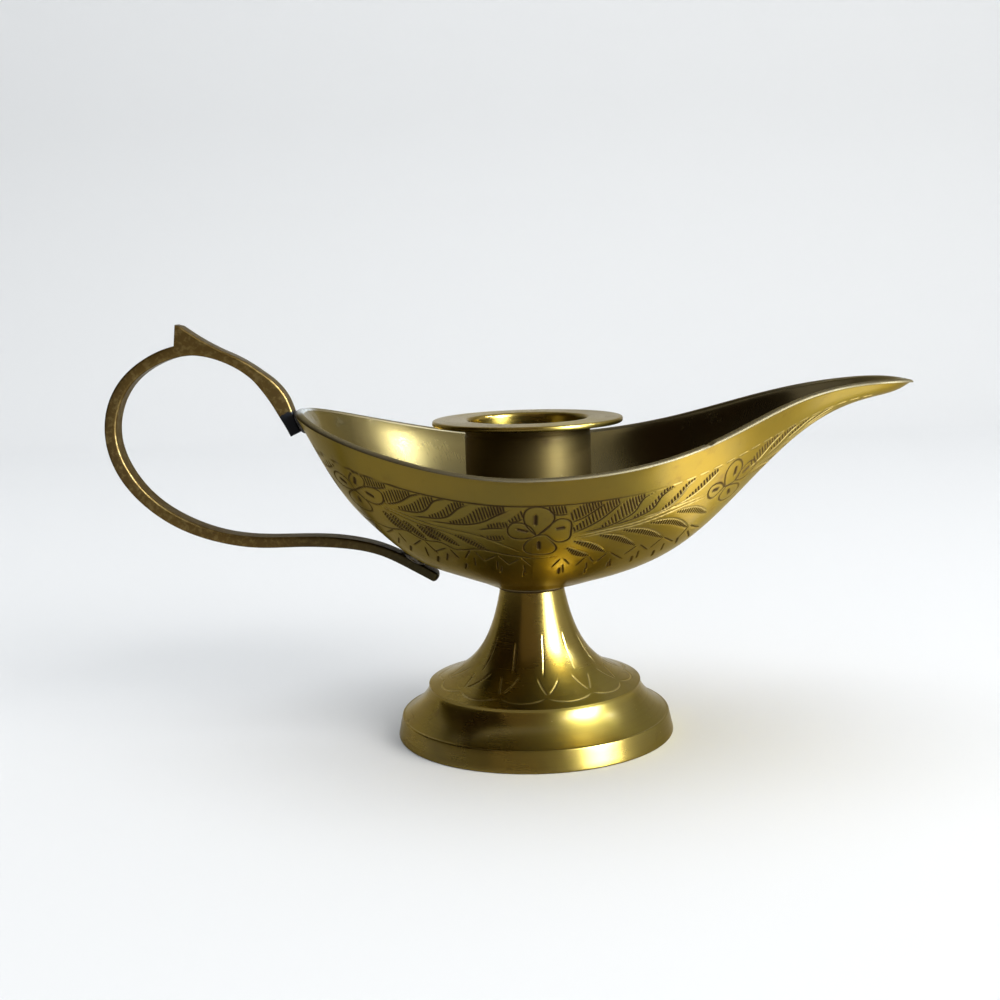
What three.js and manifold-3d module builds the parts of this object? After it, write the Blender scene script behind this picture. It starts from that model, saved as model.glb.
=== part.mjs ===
// Genie lamp candle holder in brass.
// An open, boat-shaped bowl with a long spout stands on a turned trumpet foot. A flanged candle socket
// stands in the bowl. One threaded stud, drawn down by a nut in the hollow foot, clamps socket, bowl and
// foot together. The cast strap handle is brazed to the bowl below its rim and again under its belly.
// Millimetres, +Z up, +X towards the spout.

import * as THREE from 'three';
import { mergeVertices } from 'three/addons/utils/BufferGeometryUtils.js';
import Module from 'manifold-3d';

// Clearances
const FIT = 0.3; // air between curved neighbours, and between the stud and its holes
const BRAZE_FILM = 0.4; // braze between handle and bowl

// Foot
const FOOT_HEIGHT = 28;
const BASE_RADIUS = 26.5;
const BAND_TAPER = 0.9; // how much narrower the plain band is at its top
const BAND_HEIGHT = 4;
const BAND_CREASE = 0.4; // ledge between the band and the cove
const COVE_KNEE = 0.7; // how far out of the step's edge the cove bends
const STEP_RADIUS = 20.3;
const STEP_HEIGHT = 9.8;
const STEP_LAND = 0.5; // upright land under the step's edge
const STEM_TOP_RADIUS = 6.1;
const FLARE_LEVEL = 4.3; // level that the trumpet curve flattens towards
const BASE_RING = 2.4; // width of the ring that the lamp stands on
const HOLLOW_HEIGHT = 14; // floor to ceiling of the hollow under the foot

// Stud, washer and nut
const STUD_RADIUS = 2.5;
const STUD_CHAMFER = 0.5;
const STUD_TAIL = 1.5; // stud showing below the nut
const STUD_GRIP = 5; // depth of the socket's threaded hole
const WASHER_RADIUS = 6;
const WASHER_THICKNESS = 0.8;
const WASHER_ROOM = 1.2; // between the washer's edge and the hollow's wall
const NUT_FLATS = 8; // across flats
const NUT_HEIGHT = 4;

// Bowl, with heights above its seat on the foot
const WALL = 1.6;
const FLOOR = 2.2; // thickness at the seat
const SEAT_RADIUS = 6.5;
const SEAT_BOSS = 0.5; // turned boss between the belly and the foot
const FLOOR_PAD = 1.5; // how far the flat floor inside reaches past the seat
const BOW_REACH = 43.2; // from the foot's axis to the rim at the handle
const BOW_HEIGHT = 35.2;
const BOW_FULLNESS = 20.2; // handle of the rim curve at the bow
const HALF_BEAM = 36; // half of the greatest width
const SIDE_HEIGHT = 25.6; // rim at its lowest, at both sides
const SIDE_AFT = 20; // handles of the rim curve at the sides
const SIDE_FORE = 35;
const SPOUT_REACH = 71.8; // from the foot's axis to the spout's tip
const SPOUT_HEIGHT = 37.4;
const NECK_SETBACK = 9.2; // from the tip back to the spout's neck
const NECK_HALF_WIDTH = 8;
const NECK_RISE = 0.3; // neck rim above the tip
const NECK_FORE = 6.8;
const NECK_AFT = 22;
const NECK_SLOPE = 0.06; // rise and inward slant of the rim at the neck
const TIP_FULLNESS = 3.5;
const RIM_ROUND = 0.4;
const SECTION_POWER = 2.1; // cross-sections rise from keel to rim as this power of the share of the width
const LEVELLING_POWER = 6; // how late the wall's thickness turns level on the way up to the rim
const SLOPE_STEP = 0.02; // distance over which the wall's slope is read

// Keel: height shares at shares of the way from the seat out to the bow, and out to the spout's tip
const BOW_KEEL = { out: [0, 0.2, 0.4, 0.6, 0.8, 1], up: [0, 0.075, 0.162, 0.333, 0.585, 1] };
const SPOUT_KEEL = {
  out: [0, 0.2, 0.35, 0.5, 0.65, 0.8, 0.9, 1],
  up: [0, 0.087, 0.224, 0.458, 0.707, 0.87, 0.925, 1],
};

// Candle socket
const CANDLE_BORE = 11.1; // radius, for a candle 22 mm thick
const SOCKET_WALL = 0.7;
const SOCKET_HEIGHT = 30.1; // bowl floor to flange top
const SOCKET_BASE_RADIUS = 7.2;
const SOCKET_BASE_HEIGHT = 1.6;
const SOCKET_SWELL = 5.5; // height of the curve from base to tube
const SOCKET_FLOOR = 2.6; // between the stud's hole and the candle
const FLANGE_RADIUS = 17.9;
const FLANGE_THICKNESS = 1;
const MOUTH_ROUND = 0.6;

// Handle: a strap whose middle line runs through these points, from the bow's rim
const STRAP_THICKNESS = 2.2;
const STRAP_WIDTH = 4.5;
const STRAP_BEVEL = 0.35;
const HANDLE_POINTS = [
  [-2.8, 1.6], [-5.3, 5], [-8.9, 8.1], [-13.4, 10.5], [-18, 11.7], [-21.9, 11.4], [-26.3, 9.8], [-31.2, 6.1],
  [-34.2, 0.6], [-34.7, -5], [-32.4, -11.7], [-27, -17.9], [-18.9, -22.5], [-8.6, -24.8], [-0.8, -24.95],
  [8.7, -25.6], [15.6, -27.4],
];
const ARM_SWELL = 0.45; // how much the strap thickens on each side just above the bow's rim
const SWELL_PLACE = 7.6; // where it is thickest, along the strap from its upper end
const SWELL_REACH = 6.5;
const JOINT_LOW = 0.945; // the upper joint's ends, as shares of the way out along the bow's keel
const JOINT_HIGH = 0.99;
const TAIL_RADIUS = 22; // where the tail touches the belly
const TAIL_CONTACT = 3.6; // length of the braze there
const TAIL_BEDDING = 0.5; // how deep the belly's curve is filed into the tail
const TAIL_KICK = { along: 4.4, down: 2.6 }; // free end past the touching point
const THUMB_HEEL = [-21.6, 11.4]; // thumb-piece: heel and tip behind, toe in front, from the bow's rim
const THUMB_TIP = [-20.9, 16.3];
const THUMB_TOE = [-10, 9.2];

// Facets
const TURNED_SEGMENTS = 56;
const SMALL_SEGMENTS = 24;
const RIM_STEPS = { aft: 18, fore: 18, tip: 7 };
const FINE_STEPS = 80; // steps of each rim curve when sizes are read from it
const WALL_STEPS = 11;
const STRAP_STEPS = 72;
const FLARE_STEPS = 12;
const COVE_STEPS = 10;
const HOLLOW_STEPS = 6;
const ROUND_STEPS = 5;
const FILM_STEPS = 6;

// Sizes that follow from the ones above
const STANDOFF = FIT + BRAZE_FILM + FIT;
const STUD_HOLE = STUD_RADIUS + FIT;
const TUBE_RADIUS = CANDLE_BORE + SOCKET_WALL;
const HOLLOW_TOP_RADIUS = WASHER_RADIUS + WASHER_ROOM;

const brass = new THREE.MeshStandardMaterial({ color: 0x8a7434, roughness: 0.35, metalness: 1 });
const darkBrass = new THREE.MeshStandardMaterial({ color: 0x6b5a2c, roughness: 0.45, metalness: 1 });
const steel = new THREE.MeshStandardMaterial({ color: 0x8c8c88, roughness: 0.4, metalness: 1 });
const braze = new THREE.MeshStandardMaterial({ color: 0x4a4438, roughness: 0.7, metalness: 0.8 });

const wasm = await Module();
wasm.setup();

/** A closed geometry with shared vertices, holding positions only. */
function weld(geometry) {
  const bare = geometry.clone();
  bare.deleteAttribute('normal');
  bare.deleteAttribute('uv');
  return mergeVertices(bare, 1e-4);
}

/** The boolean solid of a closed geometry. */
function solid(geometry) {
  const welded = weld(geometry);
  const vertProperties = new Float32Array(welded.attributes.position.array);
  const triVerts = new Uint32Array(welded.index.array);
  return new wasm.Manifold(new wasm.Mesh({ numProp: 3, vertProperties, triVerts }));
}

/** The geometry of a boolean solid. */
function geometryOf(manifold) {
  const mesh = manifold.getMesh();
  const geometry = new THREE.BufferGeometry();
  geometry.setAttribute('position', new THREE.BufferAttribute(mesh.vertProperties, 3));
  geometry.setIndex(new THREE.BufferAttribute(mesh.triVerts, 1));
  return geometry;
}

/** A named sub-part. */
function part(name, geometry, material) {
  const mesh = new THREE.Mesh(geometry, material);
  mesh.name = name;
  return mesh;
}

/** Angles from zero to a right angle. */
function quarterTurn(steps) {
  return Array.from({ length: steps + 1 }, (_, i) => (Math.PI / 2) * (i / steps));
}

/** A turned piece: its outline, as [radius, height] points, spun round the Z axis. */
function turned(outline, segments = TURNED_SEGMENTS) {
  const points = outline.map(([radius, height]) => new THREE.Vector2(radius, height));
  return weld(new THREE.LatheGeometry(points, segments).rotateX(Math.PI / 2));
}

/**
 * A body lofted through closed rings of equal count, each four-sided face split along its shorter diagonal.
 * A ring of rings closes on itself, else the ends are capped.
 */
function loft(rings, isRing) {
  const count = rings[0].length;
  const points = rings.flat();
  const faces = [];
  const last = isRing ? rings.length : rings.length - 1;
  for (let j = 0; j < last; j += 1) {
    const here = j * count;
    const next = ((j + 1) % rings.length) * count;
    for (let i = 0; i < count; i += 1) {
      const k = (i + 1) % count;
      const [a, b, c, d] = [here + i, here + k, next + k, next + i];
      const splitsAC = points[a].distanceTo(points[c]) <= points[b].distanceTo(points[d]);
      faces.push(...(splitsAC ? [a, b, c, a, c, d] : [a, b, d, b, c, d]));
    }
  }
  if (!isRing) {
    const top = (rings.length - 1) * count;
    points.push(middle(rings[0]), middle(rings.at(-1)));
    for (let i = 0; i < count; i += 1) {
      const k = (i + 1) % count;
      faces.push(points.length - 2, k, i, points.length - 1, top + i, top + k);
    }
  }
  const geometry = new THREE.BufferGeometry().setFromPoints(points);
  geometry.setIndex(faces);
  return geometry;
}

/** The mean of some points. */
function middle(points) {
  const sum = points.reduce((total, point) => total.add(point), new THREE.Vector3());
  return sum.divideScalar(points.length);
}

/** A natural cubic spline through stations, as a function of the first coordinate. */
function batten({ out, up }) {
  const n = out.length - 1;
  const bend = new Array(n + 1).fill(0);
  const share = new Array(n + 1).fill(0);
  for (let i = 1; i < n; i += 1) {
    const left = out[i] - out[i - 1];
    const right = out[i + 1] - out[i];
    const turn = (up[i + 1] - up[i]) / right - (up[i] - up[i - 1]) / left;
    const pivot = 2 * (left + right) - left * share[i - 1];
    share[i] = right / pivot;
    bend[i] = (6 * turn - left * bend[i - 1]) / pivot;
  }
  for (let i = n - 1; i > 0; i -= 1) {
    bend[i] -= share[i] * bend[i + 1];
  }
  return (x) => {
    const past = out.findIndex((station) => station > x);
    const i = past < 0 ? n - 1 : Math.max(0, past - 1);
    const width = out[i + 1] - out[i];
    const a = (out[i + 1] - x) / width;
    const b = 1 - a;
    const sag = ((a ** 3 - a) * bend[i] + (b ** 3 - b) * bend[i + 1]) * (width ** 2 / 6);
    return a * up[i] + b * up[i + 1] + sag;
  };
}

const bowKeel = batten(BOW_KEEL);
const spoutKeel = batten(SPOUT_KEEL);

/** Half of the rim, from the spout's tip round to the bow: three Bezier curves in so many steps each. */
function rimHalf(steps) {
  const point = (x, y, z) => new THREE.Vector3(x, y, z);
  const from = (base, direction, length) => base.clone().addScaledVector(direction, length);
  const curve = (...points) => new THREE.CubicBezierCurve3(...points);
  const tip = point(SPOUT_REACH, 0, SPOUT_HEIGHT);
  const neck = point(SPOUT_REACH - NECK_SETBACK, NECK_HALF_WIDTH, SPOUT_HEIGHT + NECK_RISE);
  const side = point(0, HALF_BEAM, SIDE_HEIGHT);
  const bow = point(-BOW_REACH, 0, BOW_HEIGHT);
  const across = point(0, 1, 0);
  const length = point(1, 0, 0);
  const slant = point(1, -NECK_SLOPE, NECK_SLOPE);
  const lip = curve(tip, from(tip, across, TIP_FULLNESS), from(neck, slant, NECK_FORE), neck);
  const fore = curve(neck, from(neck, slant, -NECK_AFT), from(side, length, SIDE_FORE), side);
  const aft = curve(side, from(side, length, -SIDE_AFT), from(bow, across, BOW_FULLNESS), bow);
  return [
    ...lip.getPoints(steps.tip),
    ...fore.getPoints(steps.fore).slice(1),
    ...aft.getPoints(steps.aft).slice(1),
  ];
}

const HALF_RIM = rimHalf(RIM_STEPS);
const FINE_RIM = rimHalf({ aft: FINE_STEPS, fore: FINE_STEPS, tip: FINE_STEPS });
const BOW_INDEX = HALF_RIM.length - 1;

/** The whole rim as one closed ring, counterclockwise from the spout's tip. */
function rimRing() {
  const mirrored = HALF_RIM.slice(1, -1).reverse().map((point) => point.clone().setY(-point.y));
  return [...HALF_RIM, ...mirrored];
}

/** The rim abreast of a station along the lamp, its half width in y and its height in z. */
function rimAbreast(x) {
  const found = FINE_RIM.findIndex((point) => point.x <= x);
  const next = found < 0 ? FINE_RIM.length - 1 : Math.max(1, found);
  const [fore, aft] = [FINE_RIM[next - 1], FINE_RIM[next]];
  return fore.clone().lerp(aft, THREE.MathUtils.clamp((fore.x - x) / (fore.x - aft.x), 0, 1));
}

/** The keel's height at a station along the lamp. */
function keelHeight(x) {
  const bow = [BOW_REACH, BOW_HEIGHT, bowKeel];
  const spout = [SPOUT_REACH, SPOUT_HEIGHT, spoutKeel];
  const [reach, height, keel] = x < 0 ? bow : spout;
  const share = THREE.MathUtils.clamp((Math.abs(x) - SEAT_RADIUS) / (reach - SEAT_RADIUS), 0, 1);
  return SEAT_BOSS + (height - SEAT_BOSS) * keel(share);
}

/** The wall's height over a place in plan: keel to rim along the cross-section there. */
function wallHeight(x, y) {
  const abreast = rimAbreast(x);
  const keel = keelHeight(x);
  const out = abreast.y > 0 ? Math.abs(y) / abreast.y : 0;
  return keel + (abreast.z - keel) * out ** SECTION_POWER;
}

/** The wall's point on the way out from the seat to a rim point, at a share of that way. */
function wallPoint(rim, share) {
  if (share === 1) {
    return rim.clone();
  }
  const angle = Math.atan2(rim.y, rim.x);
  const radius = SEAT_RADIUS + (Math.hypot(rim.x, rim.y) - SEAT_RADIUS) * share;
  const [x, y] = [radius * Math.cos(angle), radius * Math.sin(angle)];
  return new THREE.Vector3(x, y, wallHeight(x, y));
}

/** The wall's outward normal there: level at the rim, square to the wall further down. */
function wallNormal(ring, index, share) {
  if (share === 1) {
    const along = ring[(index + 1) % ring.length].clone().sub(ring.at(index - 1));
    return new THREE.Vector3(along.y, -along.x, 0).normalize();
  }
  const { x, y } = wallPoint(ring[index], share);
  const step = SLOPE_STEP;
  const slopeX = (wallHeight(x + step, y) - wallHeight(x - step, y)) / (2 * step);
  const slopeY = (wallHeight(x, y + step) - wallHeight(x, y - step)) / (2 * step);
  return new THREE.Vector3(slopeX, slopeY, share ** LEVELLING_POWER - 1).normalize();
}

/** A ring of the bowl's wall at a share of the way out, moved outwards by an offset. */
function wallRing(ring, share, offset) {
  return ring.map((rim, index) => {
    const normal = wallNormal(ring, index, share);
    return wallPoint(rim, share).addScaledVector(normal, offset);
  });
}

/** A level ring round the axis whose points keep the rim's directions. */
function levelRing(ring, radius, height) {
  return ring.map((rim) => {
    const angle = Math.atan2(rim.y, rim.x);
    return new THREE.Vector3(radius * Math.cos(angle), radius * Math.sin(angle), height);
  });
}

/** Rings moved straight up or down. */
function raised(ring, height) {
  return ring.map((point) => point.clone().setZ(point.z + height));
}

const RIM = rimRing();
const WALL_SHARES = Array.from({ length: WALL_STEPS }, (_, j) => (j + 1) / WALL_STEPS);

/** Bowl: outer wall up to a rounded rim, inner wall down to a flat floor, and the stud's hole. */
function bowl() {
  const below = WALL_SHARES.slice(0, -1);
  const outer = below.map((share) => wallRing(RIM, share, 0));
  const inner = below.map((share) => wallRing(RIM, share, -WALL)).reverse();
  const rings = [
    levelRing(RIM, STUD_HOLE, 0),
    levelRing(RIM, SEAT_RADIUS, 0),
    wallRing(RIM, 0, 0),
    ...outer,
    raised(wallRing(RIM, 1, 0), -RIM_ROUND),
    wallRing(RIM, 1, -RIM_ROUND),
    wallRing(RIM, 1, RIM_ROUND - WALL),
    raised(wallRing(RIM, 1, -WALL), -RIM_ROUND),
    ...inner,
    levelRing(RIM, SEAT_RADIUS + FLOOR_PAD, FLOOR),
    levelRing(RIM, STUD_HOLE, FLOOR),
  ];
  return loft(rings, true);
}

/** The space round the bowl that the handle keeps out of. */
function bowlClearance() {
  const seat = levelRing(RIM, SEAT_RADIUS, -STANDOFF);
  const wall = WALL_SHARES.map((share) => wallRing(RIM, share, STANDOFF));
  return loft([seat, ...wall], false);
}

/**
 * Foot: plain band, cove, step and trumpet stem outside, where the trumpet is a hyperbola from the step's
 * edge to the stem's top. Below it is hollow, with a flat ceiling for the washer.
 */
function foot() {
  const bandTop = BASE_RADIUS - BAND_TAPER;
  const coveTop = STEP_HEIGHT - STEP_LAND;
  const cove = new THREE.QuadraticBezierCurve(
    new THREE.Vector2(bandTop - BAND_CREASE, BAND_HEIGHT),
    new THREE.Vector2(STEP_RADIUS + COVE_KNEE, (BAND_HEIGHT + coveTop) / 2),
    new THREE.Vector2(STEP_RADIUS, coveTop),
  );
  const near = 1 / (STEP_HEIGHT - FLARE_LEVEL);
  const far = 1 / (FOOT_HEIGHT - FLARE_LEVEL);
  const spread = (STEP_RADIUS - STEM_TOP_RADIUS) / (near - far);
  const trumpet = quarterTurn(FLARE_STEPS).map((angle) => {
    const radius = STEP_RADIUS + (STEM_TOP_RADIUS - STEP_RADIUS) * Math.sin(angle);
    const height = FLARE_LEVEL + 1 / (far + (radius - STEM_TOP_RADIUS) / spread);
    return [radius, height];
  });
  const hollow = new THREE.QuadraticBezierCurve(
    new THREE.Vector2(HOLLOW_TOP_RADIUS, HOLLOW_HEIGHT),
    new THREE.Vector2(STEP_RADIUS, HOLLOW_HEIGHT / 2),
    new THREE.Vector2(BASE_RADIUS - BASE_RING, 0),
  );
  const outline = [
    [STUD_HOLE, FOOT_HEIGHT],
    [STUD_HOLE, HOLLOW_HEIGHT],
    ...hollow.getPoints(HOLLOW_STEPS).map(({ x, y }) => [x, y]),
    [BASE_RADIUS, 0],
    [bandTop, BAND_HEIGHT],
    ...cove.getPoints(COVE_STEPS).map(({ x, y }) => [x, y]),
    ...trumpet,
    [STUD_HOLE, FOOT_HEIGHT],
  ];
  return turned(outline);
}

/** Socket: a flanged tube on a narrower turned base, bored for the candle and, from below, for the stud. */
function candleSocket() {
  const top = SOCKET_HEIGHT;
  const swell = quarterTurn(ROUND_STEPS).map((angle) => [
    SOCKET_BASE_RADIUS + (TUBE_RADIUS - SOCKET_BASE_RADIUS) * Math.sin(angle),
    SOCKET_BASE_HEIGHT + SOCKET_SWELL * (1 - Math.cos(angle)),
  ]);
  const edge = FLANGE_THICKNESS / 2;
  const flangeEdge = quarterTurn(ROUND_STEPS).map((angle) => [
    FLANGE_RADIUS - edge * (1 - Math.sin(2 * angle)),
    top - edge - edge * Math.cos(2 * angle),
  ]);
  const mouth = quarterTurn(ROUND_STEPS).map((angle) => [
    CANDLE_BORE + MOUTH_ROUND * (1 - Math.sin(angle)),
    top - MOUTH_ROUND * (1 - Math.cos(angle)),
  ]);
  const outline = [
    [0, STUD_GRIP],
    [STUD_HOLE, STUD_GRIP],
    [STUD_HOLE, 0],
    [SOCKET_BASE_RADIUS, 0],
    ...swell,
    [TUBE_RADIUS, top - FLANGE_THICKNESS],
    ...flangeEdge,
    ...mouth,
    [CANDLE_BORE, STUD_GRIP + SOCKET_FLOOR],
    [0, STUD_GRIP + SOCKET_FLOOR],
  ];
  return turned(outline);
}

/** Threaded stud, plain here, with chamfered ends, between two heights. */
function stud(low, high) {
  const slim = STUD_RADIUS - STUD_CHAMFER;
  return turned([
    [0, low], [slim, low], [STUD_RADIUS, low + STUD_CHAMFER],
    [STUD_RADIUS, high - STUD_CHAMFER], [slim, high], [0, high],
  ], SMALL_SEGMENTS);
}

/** Flat washer, standing on height zero. */
function washer() {
  return turned([
    [STUD_HOLE, 0], [WASHER_RADIUS, 0], [WASHER_RADIUS, WASHER_THICKNESS],
    [STUD_HOLE, WASHER_THICKNESS], [STUD_HOLE, 0],
  ], 2 * SMALL_SEGMENTS);
}

/** Hexagon nut, standing on height zero. */
function nut() {
  const corner = NUT_FLATS / Math.sqrt(3);
  const hexagon = new THREE.Shape();
  for (let i = 0; i < 6; i += 1) {
    const angle = (Math.PI / 3) * i;
    const place = i === 0 ? 'moveTo' : 'lineTo';
    hexagon[place](corner * Math.cos(angle), corner * Math.sin(angle));
  }
  hexagon.closePath();
  hexagon.holes.push(new THREE.Path().absarc(0, 0, STUD_HOLE, 0, 2 * Math.PI, true));
  const options = { depth: NUT_HEIGHT, bevelEnabled: false, curveSegments: SMALL_SEGMENTS };
  return weld(new THREE.ExtrudeGeometry(hexagon, options));
}

/** A place in the lamp's middle plane, given from the bow's rim, with x along the lamp and y up. */
function fromBowRim([along, up]) {
  return new THREE.Vector3(along - BOW_REACH, up + BOW_HEIGHT, 0);
}

/** The bow's wall in the lamp's middle plane, moved outwards, with x along the lamp and y up. */
function bowPoint(share, offset) {
  const normal = wallNormal(RIM, BOW_INDEX, share);
  const point = wallPoint(RIM[BOW_INDEX], share).addScaledVector(normal, offset);
  return new THREE.Vector3(point.x, point.z, 0);
}

/** The share of the way out at which the bow's wall has a given radius. */
function bowShare(radius) {
  return (radius - SEAT_RADIUS) / (BOW_REACH - SEAT_RADIUS);
}

/** A slab across the middle plane, cut to an outline in that plane, with bevelled edges. */
function slab(shape) {
  const options = {
    depth: STRAP_WIDTH - 2 * STRAP_BEVEL,
    bevelThickness: STRAP_BEVEL,
    bevelSize: STRAP_BEVEL,
    bevelOffset: -STRAP_BEVEL,
    bevelSegments: 1,
  };
  const geometry = new THREE.ExtrudeGeometry(shape, options);
  return geometry.translate(0, 0, -options.depth / 2).rotateX(Math.PI / 2);
}

/** The strap's middle line, from the upper joint round the loop to the free end of the tail. */
function strapPath() {
  const lift = STANDOFF + STRAP_THICKNESS / 2;
  const touch = bowPoint(bowShare(TAIL_RADIUS), lift - TAIL_BEDDING);
  const end = touch.clone().add(new THREE.Vector3(TAIL_KICK.along, -TAIL_KICK.down, 0));
  const joint = [bowPoint(JOINT_LOW, lift), bowPoint(JOINT_HIGH, lift)];
  return new THREE.CatmullRomCurve3([...joint, ...HANDLE_POINTS.map(fromBowRim), touch, end]);
}

/** Handle: the strap along its path, thicker above the rim, with a thumb-piece, kept clear of the bowl. */
function handle() {
  const path = strapPath();
  const half = STRAP_THICKNESS / 2;
  const length = path.getLength();
  const swell = (share) => Math.max(0, 1 - ((share * length - SWELL_PLACE) / SWELL_REACH) ** 2) ** 2;
  const edge = (side) => Array.from({ length: STRAP_STEPS + 1 }, (_, i) => {
    const share = i / STRAP_STEPS;
    const along = path.getTangentAt(share);
    const across = new THREE.Vector3(-along.y, along.x, 0);
    const reach = half + ARM_SWELL * swell(share);
    return path.getPointAt(share).addScaledVector(across, side * reach);
  });
  const end = path.getPointAt(1);
  const heading = path.getTangentAt(1);
  const across = new THREE.Vector3(-heading.y, heading.x, 0);
  const roundEnd = quarterTurn(ROUND_STEPS).slice(1, -1).map((angle) => {
    const out = heading.clone().multiplyScalar(half * Math.sin(2 * angle));
    return end.clone().add(out).addScaledVector(across, half * Math.cos(2 * angle));
  });
  const outline = [...edge(1), ...roundEnd, ...edge(-1).reverse()];
  const strap = new THREE.Shape(outline.map(({ x, y }) => new THREE.Vector2(x, y)));
  const corners = [THUMB_HEEL, THUMB_TOE, THUMB_TIP].map(fromBowRim);
  const thumb = new THREE.Shape(corners.map(({ x, y }) => new THREE.Vector2(x, y)));
  return geometryOf(solid(slab(strap)).add(solid(slab(thumb))).subtract(solid(bowlClearance())));
}

/** Braze film on the bowl at the bow, between two shares of the way out, a little narrower than the strap. */
function brazeFilm(low, high) {
  const reach = STRAP_WIDTH / 2 - STRAP_BEVEL;
  const rings = Array.from({ length: FILM_STEPS + 1 }, (_, j) => {
    const share = low + (high - low) * (j / FILM_STEPS);
    const edge = (offset, y) => {
      const point = bowPoint(share, offset);
      return new THREE.Vector3(-Math.sqrt(point.x ** 2 - y ** 2), y, point.y);
    };
    const across = [-reach, 0, reach];
    return [
      ...across.map((y) => edge(FIT, y)),
      ...across.map((y) => edge(FIT + BRAZE_FILM, -y)),
    ];
  });
  return loft(rings, false);
}

const nutTop = HOLLOW_HEIGHT - WASHER_THICKNESS;
const nutBottom = nutTop - NUT_HEIGHT;
const studTop = FOOT_HEIGHT + FLOOR + STUD_GRIP - FIT;
const tailInner = bowShare(TAIL_RADIUS - TAIL_CONTACT / 2);
const tailOuter = bowShare(TAIL_RADIUS + TAIL_CONTACT / 2);

const onFoot = new THREE.Group();
onFoot.position.z = FOOT_HEIGHT;
const socketMesh = part('candle_socket', candleSocket(), brass);
socketMesh.position.z = FLOOR;
onFoot.add(
  part('bowl', bowl(), brass),
  socketMesh,
  part('handle', handle(), darkBrass),
  part('upper_braze', brazeFilm(JOINT_LOW, JOINT_HIGH), braze),
  part('lower_braze', brazeFilm(tailInner, tailOuter), braze),
);

const washerMesh = part('stud_washer', washer(), steel);
washerMesh.position.z = nutTop;
const nutMesh = part('stud_nut', nut(), steel);
nutMesh.position.z = nutBottom;

const lamp = new THREE.Group();
lamp.add(
  part('foot', foot(), brass),
  part('stem_stud', stud(nutBottom - STUD_TAIL, studTop), steel),
  washerMesh,
  nutMesh,
  onFoot,
);

// The origin lies on the ground under the middle of the lamp's length.
const reach = new THREE.Box3().setFromObject(lamp);
lamp.position.x = -(reach.min.x + reach.max.x) / 2;
lamp.updateMatrixWorld(true);

export default lamp;
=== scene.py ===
"""Genie lamp candle holder in aged, engraved brass: its looks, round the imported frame.

Lengths here are millimetres from the foot's axis on the ground, +X towards the spout, -Y towards the viewer
and +Z up. Those of floor, cards and lamps are metres in the frame, which to_frame() turns the others into.
Every surface is a grid of points, worked out as whole arrays.
"""

import math

import bmesh
import bpy
import numpy as np
from mathutils import Matrix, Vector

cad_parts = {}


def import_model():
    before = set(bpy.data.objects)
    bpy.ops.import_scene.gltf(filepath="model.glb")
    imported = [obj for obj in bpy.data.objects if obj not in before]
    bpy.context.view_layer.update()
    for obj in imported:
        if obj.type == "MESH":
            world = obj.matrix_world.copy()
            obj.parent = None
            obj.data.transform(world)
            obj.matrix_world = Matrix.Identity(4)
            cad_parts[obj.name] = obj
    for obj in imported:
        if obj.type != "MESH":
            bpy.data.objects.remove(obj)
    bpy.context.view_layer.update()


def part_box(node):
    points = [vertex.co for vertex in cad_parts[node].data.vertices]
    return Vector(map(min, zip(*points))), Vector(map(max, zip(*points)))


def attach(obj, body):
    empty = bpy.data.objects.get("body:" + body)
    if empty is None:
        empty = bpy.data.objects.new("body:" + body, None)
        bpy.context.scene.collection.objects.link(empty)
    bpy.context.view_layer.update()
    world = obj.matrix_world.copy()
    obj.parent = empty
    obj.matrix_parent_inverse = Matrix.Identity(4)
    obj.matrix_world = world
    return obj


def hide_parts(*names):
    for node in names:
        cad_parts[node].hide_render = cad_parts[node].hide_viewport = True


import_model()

MM = 0.001
TURN = 2 * math.pi
UPRIGHT = np.array([0, 0, 1])


def corners_mm(node):
    """A node's lowest and highest corner in millimetres."""
    return [np.array(corner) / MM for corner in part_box(node)]


# Sizes read from the frame
foot_low, foot_high = corners_mm("foot")
bowl_low, bowl_high = corners_mm("bowl")
socket_low, socket_high = corners_mm("candle_socket")
washer_low, washer_high = corners_mm("stud_washer")
nut_low, nut_high = corners_mm("stud_nut")
stud_low, stud_high = corners_mm("stem_stud")
AXIS_X = (foot_low[0] + foot_high[0]) / 2
FOOT_HEIGHT = foot_high[2]
BASE_RADIUS = foot_high[1]
BOW_REACH = AXIS_X - bowl_low[0]
SPOUT_REACH = bowl_high[0] - AXIS_X
HALF_BEAM = bowl_high[1]
FLANGE_RADIUS = (socket_high[0] - socket_low[0]) / 2
SOCKET_TOP = socket_high[2]
SOCKET_FOOT = socket_low[2]

# Foot
BAND_TAPER = 0.9
BAND_HEIGHT = 4
BAND_CREASE = 0.4
COVE_KNEE = 0.7
STEP_RADIUS = 20.3
STEP_HEIGHT = 9.8
STEP_LAND = 0.5
STEM_TOP_RADIUS = 6.1
FLARE_LEVEL = 4.3
BASE_RING = 2.4
HOLLOW_HEIGHT = 14
HOLLOW_TOP_RADIUS = 7.2
STUD_RADIUS = 2.5
STUD_HOLE = 2.8
THREAD_PITCH = 0.8
THREAD_DEPTH = 0.22

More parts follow.
